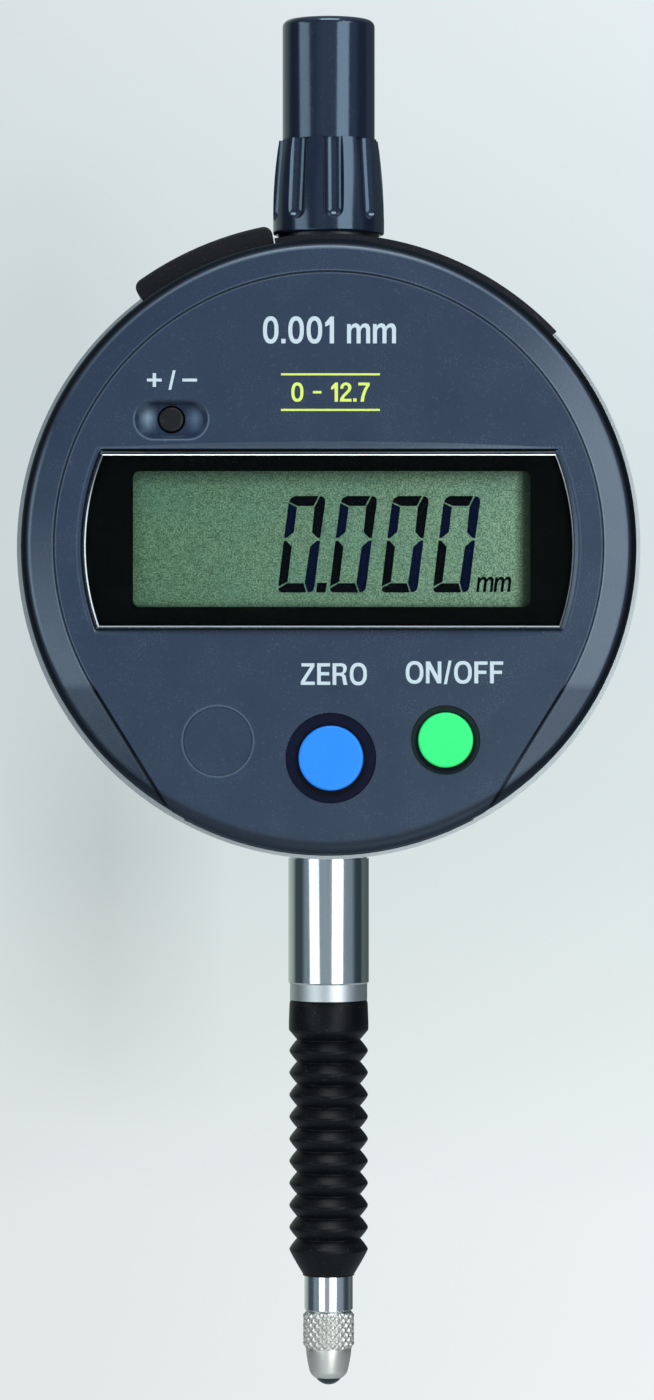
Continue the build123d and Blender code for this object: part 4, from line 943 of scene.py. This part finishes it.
def knurl_tree():
    """Contact point about Z: a diamond knurl between two chamfers, and a smooth rounded nose under it."""
    grow = Growing(
        "knurled_point",
        (
            ("Top", FLOAT, 0.0), ("Knurl Length", FLOAT, 0.0036), ("Nose Length", FLOAT, 0.003),
            ("Knurl Radius", FLOAT, 0.0025), ("Knurl Depth", FLOAT, 0.00022), ("Diamonds Round", FLOAT, 18.0),
            ("Diamonds Down", FLOAT, 4.0), ("Nose Radius", FLOAT, 0.0023), ("Tip Radius", FLOAT, 0.0016),
        ),
    )
    given = grow.given
    grid, turned, along, at_end = tube_grid(grow, 112, 216)
    reach = along * (given["Knurl Length"] + given["Nose Length"])
    knurl_share = reach / given["Knurl Length"]
    round_share = turned * (given["Diamonds Round"] / (2 * math.pi))
    down_share = knurl_share * given["Diamonds Down"]
    walls = []
    for operation in ("ADD", "SUBTRACT"):
        line = (grow.math(operation, round_share, down_share) + 40.0).fraction()
        walls.append(1.0 - abs(line * 2.0 - 1.0))
    diamond = (walls[0].least(walls[1]) * 1.7).clamped()
    chamfer = (knurl_share * 12.0).least((1.0 - knurl_share) * 9.0).clamped()
    height = (diamond * chamfer - 1.0) * given["Knurl Depth"]
    knurled = given["Knurl Radius"] + height
    nose_share = ((reach - given["Knurl Length"]) / given["Nose Length"]).clamped()
    narrowing = (given["Nose Radius"] - given["Tip Radius"]) * nose_share ** 1.5
    rounding = ((nose_share - 0.78) * 4.55).clamped()
    rounding = rounding ** 2.0 * (0.3 * MM)
    nose = given["Nose Radius"] - narrowing - rounding
    outer = choose(grow, knurl_share > 1.0, knurled, nose)
    radius = choose(grow, at_end, outer, 0.0)
    wrap(grow, grid, radius, given["Top"] - reach, turned)
    return grow


def coil_tree():
    """Compression spring about Z: one wire wound at a constant pitch, with closed ends."""
    grow = Growing(
        "coil",
        (
            ("Bottom", FLOAT, 0.0), ("Length", FLOAT, 0.02), ("Turns", FLOAT, 9.0),
            ("Mean Radius", FLOAT, 0.003), ("Wire Radius", FLOAT, 0.0002),
        ),
    )
    given = grow.given
    points = 433
    line = grow.node("GeometryNodeMeshLine", {"Count": points})
    count = grow.value("GeometryNodeInputIndex") / (points - 1)
    turned = count * given["Turns"] * (2 * math.pi)
    # The first and the last turn lie nearly flat.
    eased = (count * 1.16 - 0.08).clamped()
    clear = given["Length"] - given["Wire Radius"] * 4.4
    height = eased * clear + given["Wire Radius"] * 1.1
    height = height + count * (given["Wire Radius"] * 2.2)
    radius = given["Mean Radius"]
    place = grow.combine(radius * turned.cosine(), radius * turned.sine(), given["Bottom"] + height)
    wound = grow.node("GeometryNodeSetPosition", {"Geometry": line.outputs[0], "Position": place})
    curve = grow.node("GeometryNodeMeshToCurve", {0: wound.outputs[0]})
    inputs = {"Resolution": 12, "Radius": given["Wire Radius"]}
    section = grow.value("GeometryNodeCurvePrimitiveCircle", inputs)
    inputs = {"Curve": curve.outputs[0], "Profile Curve": section, "Fill Caps": True}
    wire = grow.node("GeometryNodeCurveToMesh", inputs)
    grow.close(wire.outputs[0])
    return grow


spring_length = spring_high.z - spring_low.z
spring = grown(
    "return_spring_wire", coil_tree(),
    {
        "Bottom": spring_low.z, "Length": spring_length, "Turns": 9.0, "Mean Radius": 3.25 * MM,
        "Wire Radius": 0.2 * MM,
    },
    "spring_steel", "body",
)
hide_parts("return_spring")
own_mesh(spring)

boot_collar_z = boot_high.z - 3.1 * MM
boot = grown(
    "boot_folds", bellows_tree(),
    {
        "Top": boot_collar_z, "Length": boot_collar_z - boot_low.z, "Folds": 9.5, "Peak Radius": 3.9 * MM,
        "Valley Radius": 3.14 * MM, "Bore Radius": 2.45 * MM, "Top Radius": 3.86 * MM,
        "Top Length": 0.85 * MM, "End Length": 2.55 * MM, "End Radius": 2.56 * MM,
    },
    "boot_rubber", "body",
)


def turned_piece(name, profile, slot, body, material=None, steps=96):
    """Round piece about Z from a closed profile of (radius, z), in millimetres."""
    work = bmesh.new()
    rows = []
    for i in range(steps):
        angle = 2 * math.pi * i / steps
        rows.append([
            work.verts.new((r * MM * math.cos(angle), r * MM * math.sin(angle), z * MM)) for r, z in profile
        ])
    for row, following in zip(rows, rows[1:] + rows[:1]):
        for i in range(len(profile)):
            j = (i + 1) % len(profile)
            work.faces.new((row[i], row[j], following[j], following[i]))
    bmesh.ops.remove_doubles(work, verts=work.verts, dist=1e-7)
    bmesh.ops.recalc_face_normals(work, faces=work.faces)
    mesh = to_mesh(name, work, smooth=True)
    mesh.set_sharp_from_angle(angle=math.radians(35))
    return add_piece(name, mesh, slot, body, material)


collar_top = boot_high.z / MM
collar_points = [
    (3.34, collar_top), (3.62, collar_top), (3.80, collar_top - 0.08), (3.88, collar_top - 0.26),
    (3.90, collar_top - 0.6), (3.93, collar_top - 1.4), (3.96, collar_top - 2.2), (3.96, collar_top - 2.85),
    (3.93, collar_top - 3.02), (3.86, collar_top - 3.1), (2.45, collar_top - 3.1),
    (2.45, collar_top - 2.42), (3.34, collar_top - 2.42),
]
collar = turned_piece("boot_collar", collar_points, "boot_rubber", "body")
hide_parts("spindle_boot")
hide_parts("spindle_boot")
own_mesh(boot)

knurl_length = 3.68 * MM
knurled = grown(
    "contact_point_body", knurl_tree(),
    {
        "Top": spindle_low.z, "Knurl Length": knurl_length,
        "Nose Length": spindle_low.z - point_low.z - knurl_length,
        "Knurl Radius": 2.53 * MM, "Knurl Depth": 0.29 * MM, "Diamonds Round": 18.0, "Diamonds Down": 4.0,
        "Nose Radius": 2.26 * MM, "Tip Radius": 1.72 * MM,
    },
    "point_steel", "plunger",
)
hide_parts("contact_point")

# Studio: pale ground, soft boxes left, right and above, and the surroundings that bright metal shows

floor_mesh = bpy.data.meshes.new("floor")
floor_work = bmesh.new()
bmesh.ops.create_circle(floor_work, cap_ends=True, segments=96, radius=1.5)
floor_work.to_mesh(floor_mesh)
floor_work.free()
for vertex in floor_mesh.vertices:
    vertex.co.z = -0.3
floor = put("floor", floor_mesh)
floor_wiring, paint = opened(new_finish("floor_paint"))
paint.inputs["Base Color"].default_value = srgb(226, 232, 232)
paint.inputs["Roughness"].default_value = 0.9
glow = floor_wiring.node("ShaderNodeEmission", {"Color": srgb(228, 235, 236), "Strength": 1.0})
paths = floor_wiring.values("ShaderNodeLightPath")
seen = paths["Is Camera Ray"].most(paths["Is Transmission Ray"])
shown = floor_wiring.node("ShaderNodeMixShader", {0: seen * 0.8, 1: paint.outputs[0], 2: glow.outputs[0]})
floor_wiring.join(shown.outputs[0], floor_wiring.tree.nodes["Material Output"].inputs["Surface"])
floor_mesh.materials.append(finishes["floor_paint"])


def soft_box(name, angle, distance, width, height, z, power, colour):
    """Tall lamp seen from the object at this angle from the camera, positive to the right."""
    data = bpy.data.lights.new(name, "AREA")
    data.shape = "RECTANGLE"
    data.size = width
    data.size_y = height
    data.energy = power
    data.color = colour
    lamp = put(name, data)
    turned = math.radians(angle)
    lamp.location = (math.sin(turned) * distance, -math.cos(turned) * distance, z)
    aim = Vector((0, 0, z)) - lamp.location
    lamp.rotation_euler = aim.to_track_quat("-Z", "Z").to_euler()
    return lamp


soft_box("left_box", -52, 0.6, 0.19, 0.9, 0.06, 1.1, (0.93, 0.98, 1.0))
soft_box("right_box", 30, 0.5, 0.24, 0.8, 0.04, 1.75, (0.95, 0.98, 1.0))
key = soft_box("top_box", 4, 0.38, 0.5, 0.3, 0.72, 2.75, (0.97, 0.99, 1.0))
key_aim = Vector((0, 0, 30 * MM)) - key.location
key.rotation_euler = key_aim.to_track_quat("-Z", "Z").to_euler()

world = bpy.data.worlds.new("studio")
bpy.context.scene.world = world
world.use_nodes = True
sky = Wiring(world.node_tree)
way = sky.values("ShaderNodeSeparateXYZ", {0: sky.value("ShaderNodeTexCoord", output="Generated")})
rise = (way["Z"] * 3.3 + 0.5).clamped()
backdrop = sky.ramp(rise, (
    (0.01, srgb(232, 238, 238)), (0.14, srgb(231, 236, 237)), (0.28, srgb(220, 229, 228)),
    (0.41, srgb(213, 223, 224)), (0.58, srgb(210, 220, 223)), (0.67, srgb(212, 223, 226)),
    (0.93, srgb(224, 232, 235)),
))
side = way["X"] * 0.9 + 1.0
side = side.most(0.94).least(1.06)
side = sky.value("ShaderNodeCombineColor", {0: side, 1: side, 2: side})
backdrop = sky.mix(1.0, backdrop, side, "MULTIPLY")
# Soft shadows of the object on the backdrop: centre, half width and half height as directions, strength.
for x, z, half_width, half_height, strength in (
    (-0.044, -0.038, 0.024, 0.055, 0.2), (-0.054, 0.066, 0.024, 0.04, 0.07)
):
    patch = way["X"].band(x, half_width) * way["Z"].band(z, half_height)
    patch = patch ** 0.8 * strength
    backdrop = sky.mix(patch, backdrop, (0.0, 0.0, 0.0, 1))
round_way = way["Y"] * 0.5 + 0.5
middle = ((0.0, (0.37, 0.43, 0.49, 1)), (0.03, (0.34, 0.40, 0.46, 1)))
beside = ((0.32, (0.25, 0.31, 0.36, 1)), (0.44, (0.05, 0.07, 0.085, 1)))
room_left = sky.ramp(round_way, middle + ((0.09, (0.13, 0.17, 0.2, 1)),) + beside + (
    (0.66, (0.06, 0.083, 0.093, 1)), (0.75, (0.33, 0.38, 0.35, 1)), (0.9, (0.5, 0.58, 0.52, 1)),
))
room_right = sky.ramp(round_way, middle + ((0.09, (0.3, 0.35, 0.4, 1)),) + beside + (
    (0.62, (0.035, 0.05, 0.06, 1)), (0.71, (0.15, 0.18, 0.175, 1)), (0.88, (0.1, 0.13, 0.13, 1)),
))
room = sky.mix(way["X"].rise(-0.15, 0.15), room_left, room_right)
# Dark opening that the camera looks through, seen only in the flat window.
opening = way["X"].band(0.0, 0.12) * way["Z"].band(0.026, 0.05)
opening = (opening * 4.0).clamped() * (way["Y"] < 0.0)
room = sky.mix(opening, room, (0.01, 0.012, 0.014, 1))
above = (way["Z"] * 2.0 - 0.9).clamped()
room = sky.mix(above, room, (0.4, 0.43, 0.46, 1))
rays = sky.values("ShaderNodeLightPath")
behind = way["Y"] > 0.0
through = rays["Is Transmission Ray"] * behind
seen_rays = rays["Is Camera Ray"].most(through)
sky.join(sky.mix(seen_rays, room, backdrop), world.node_tree.nodes["Background"].inputs["Color"])
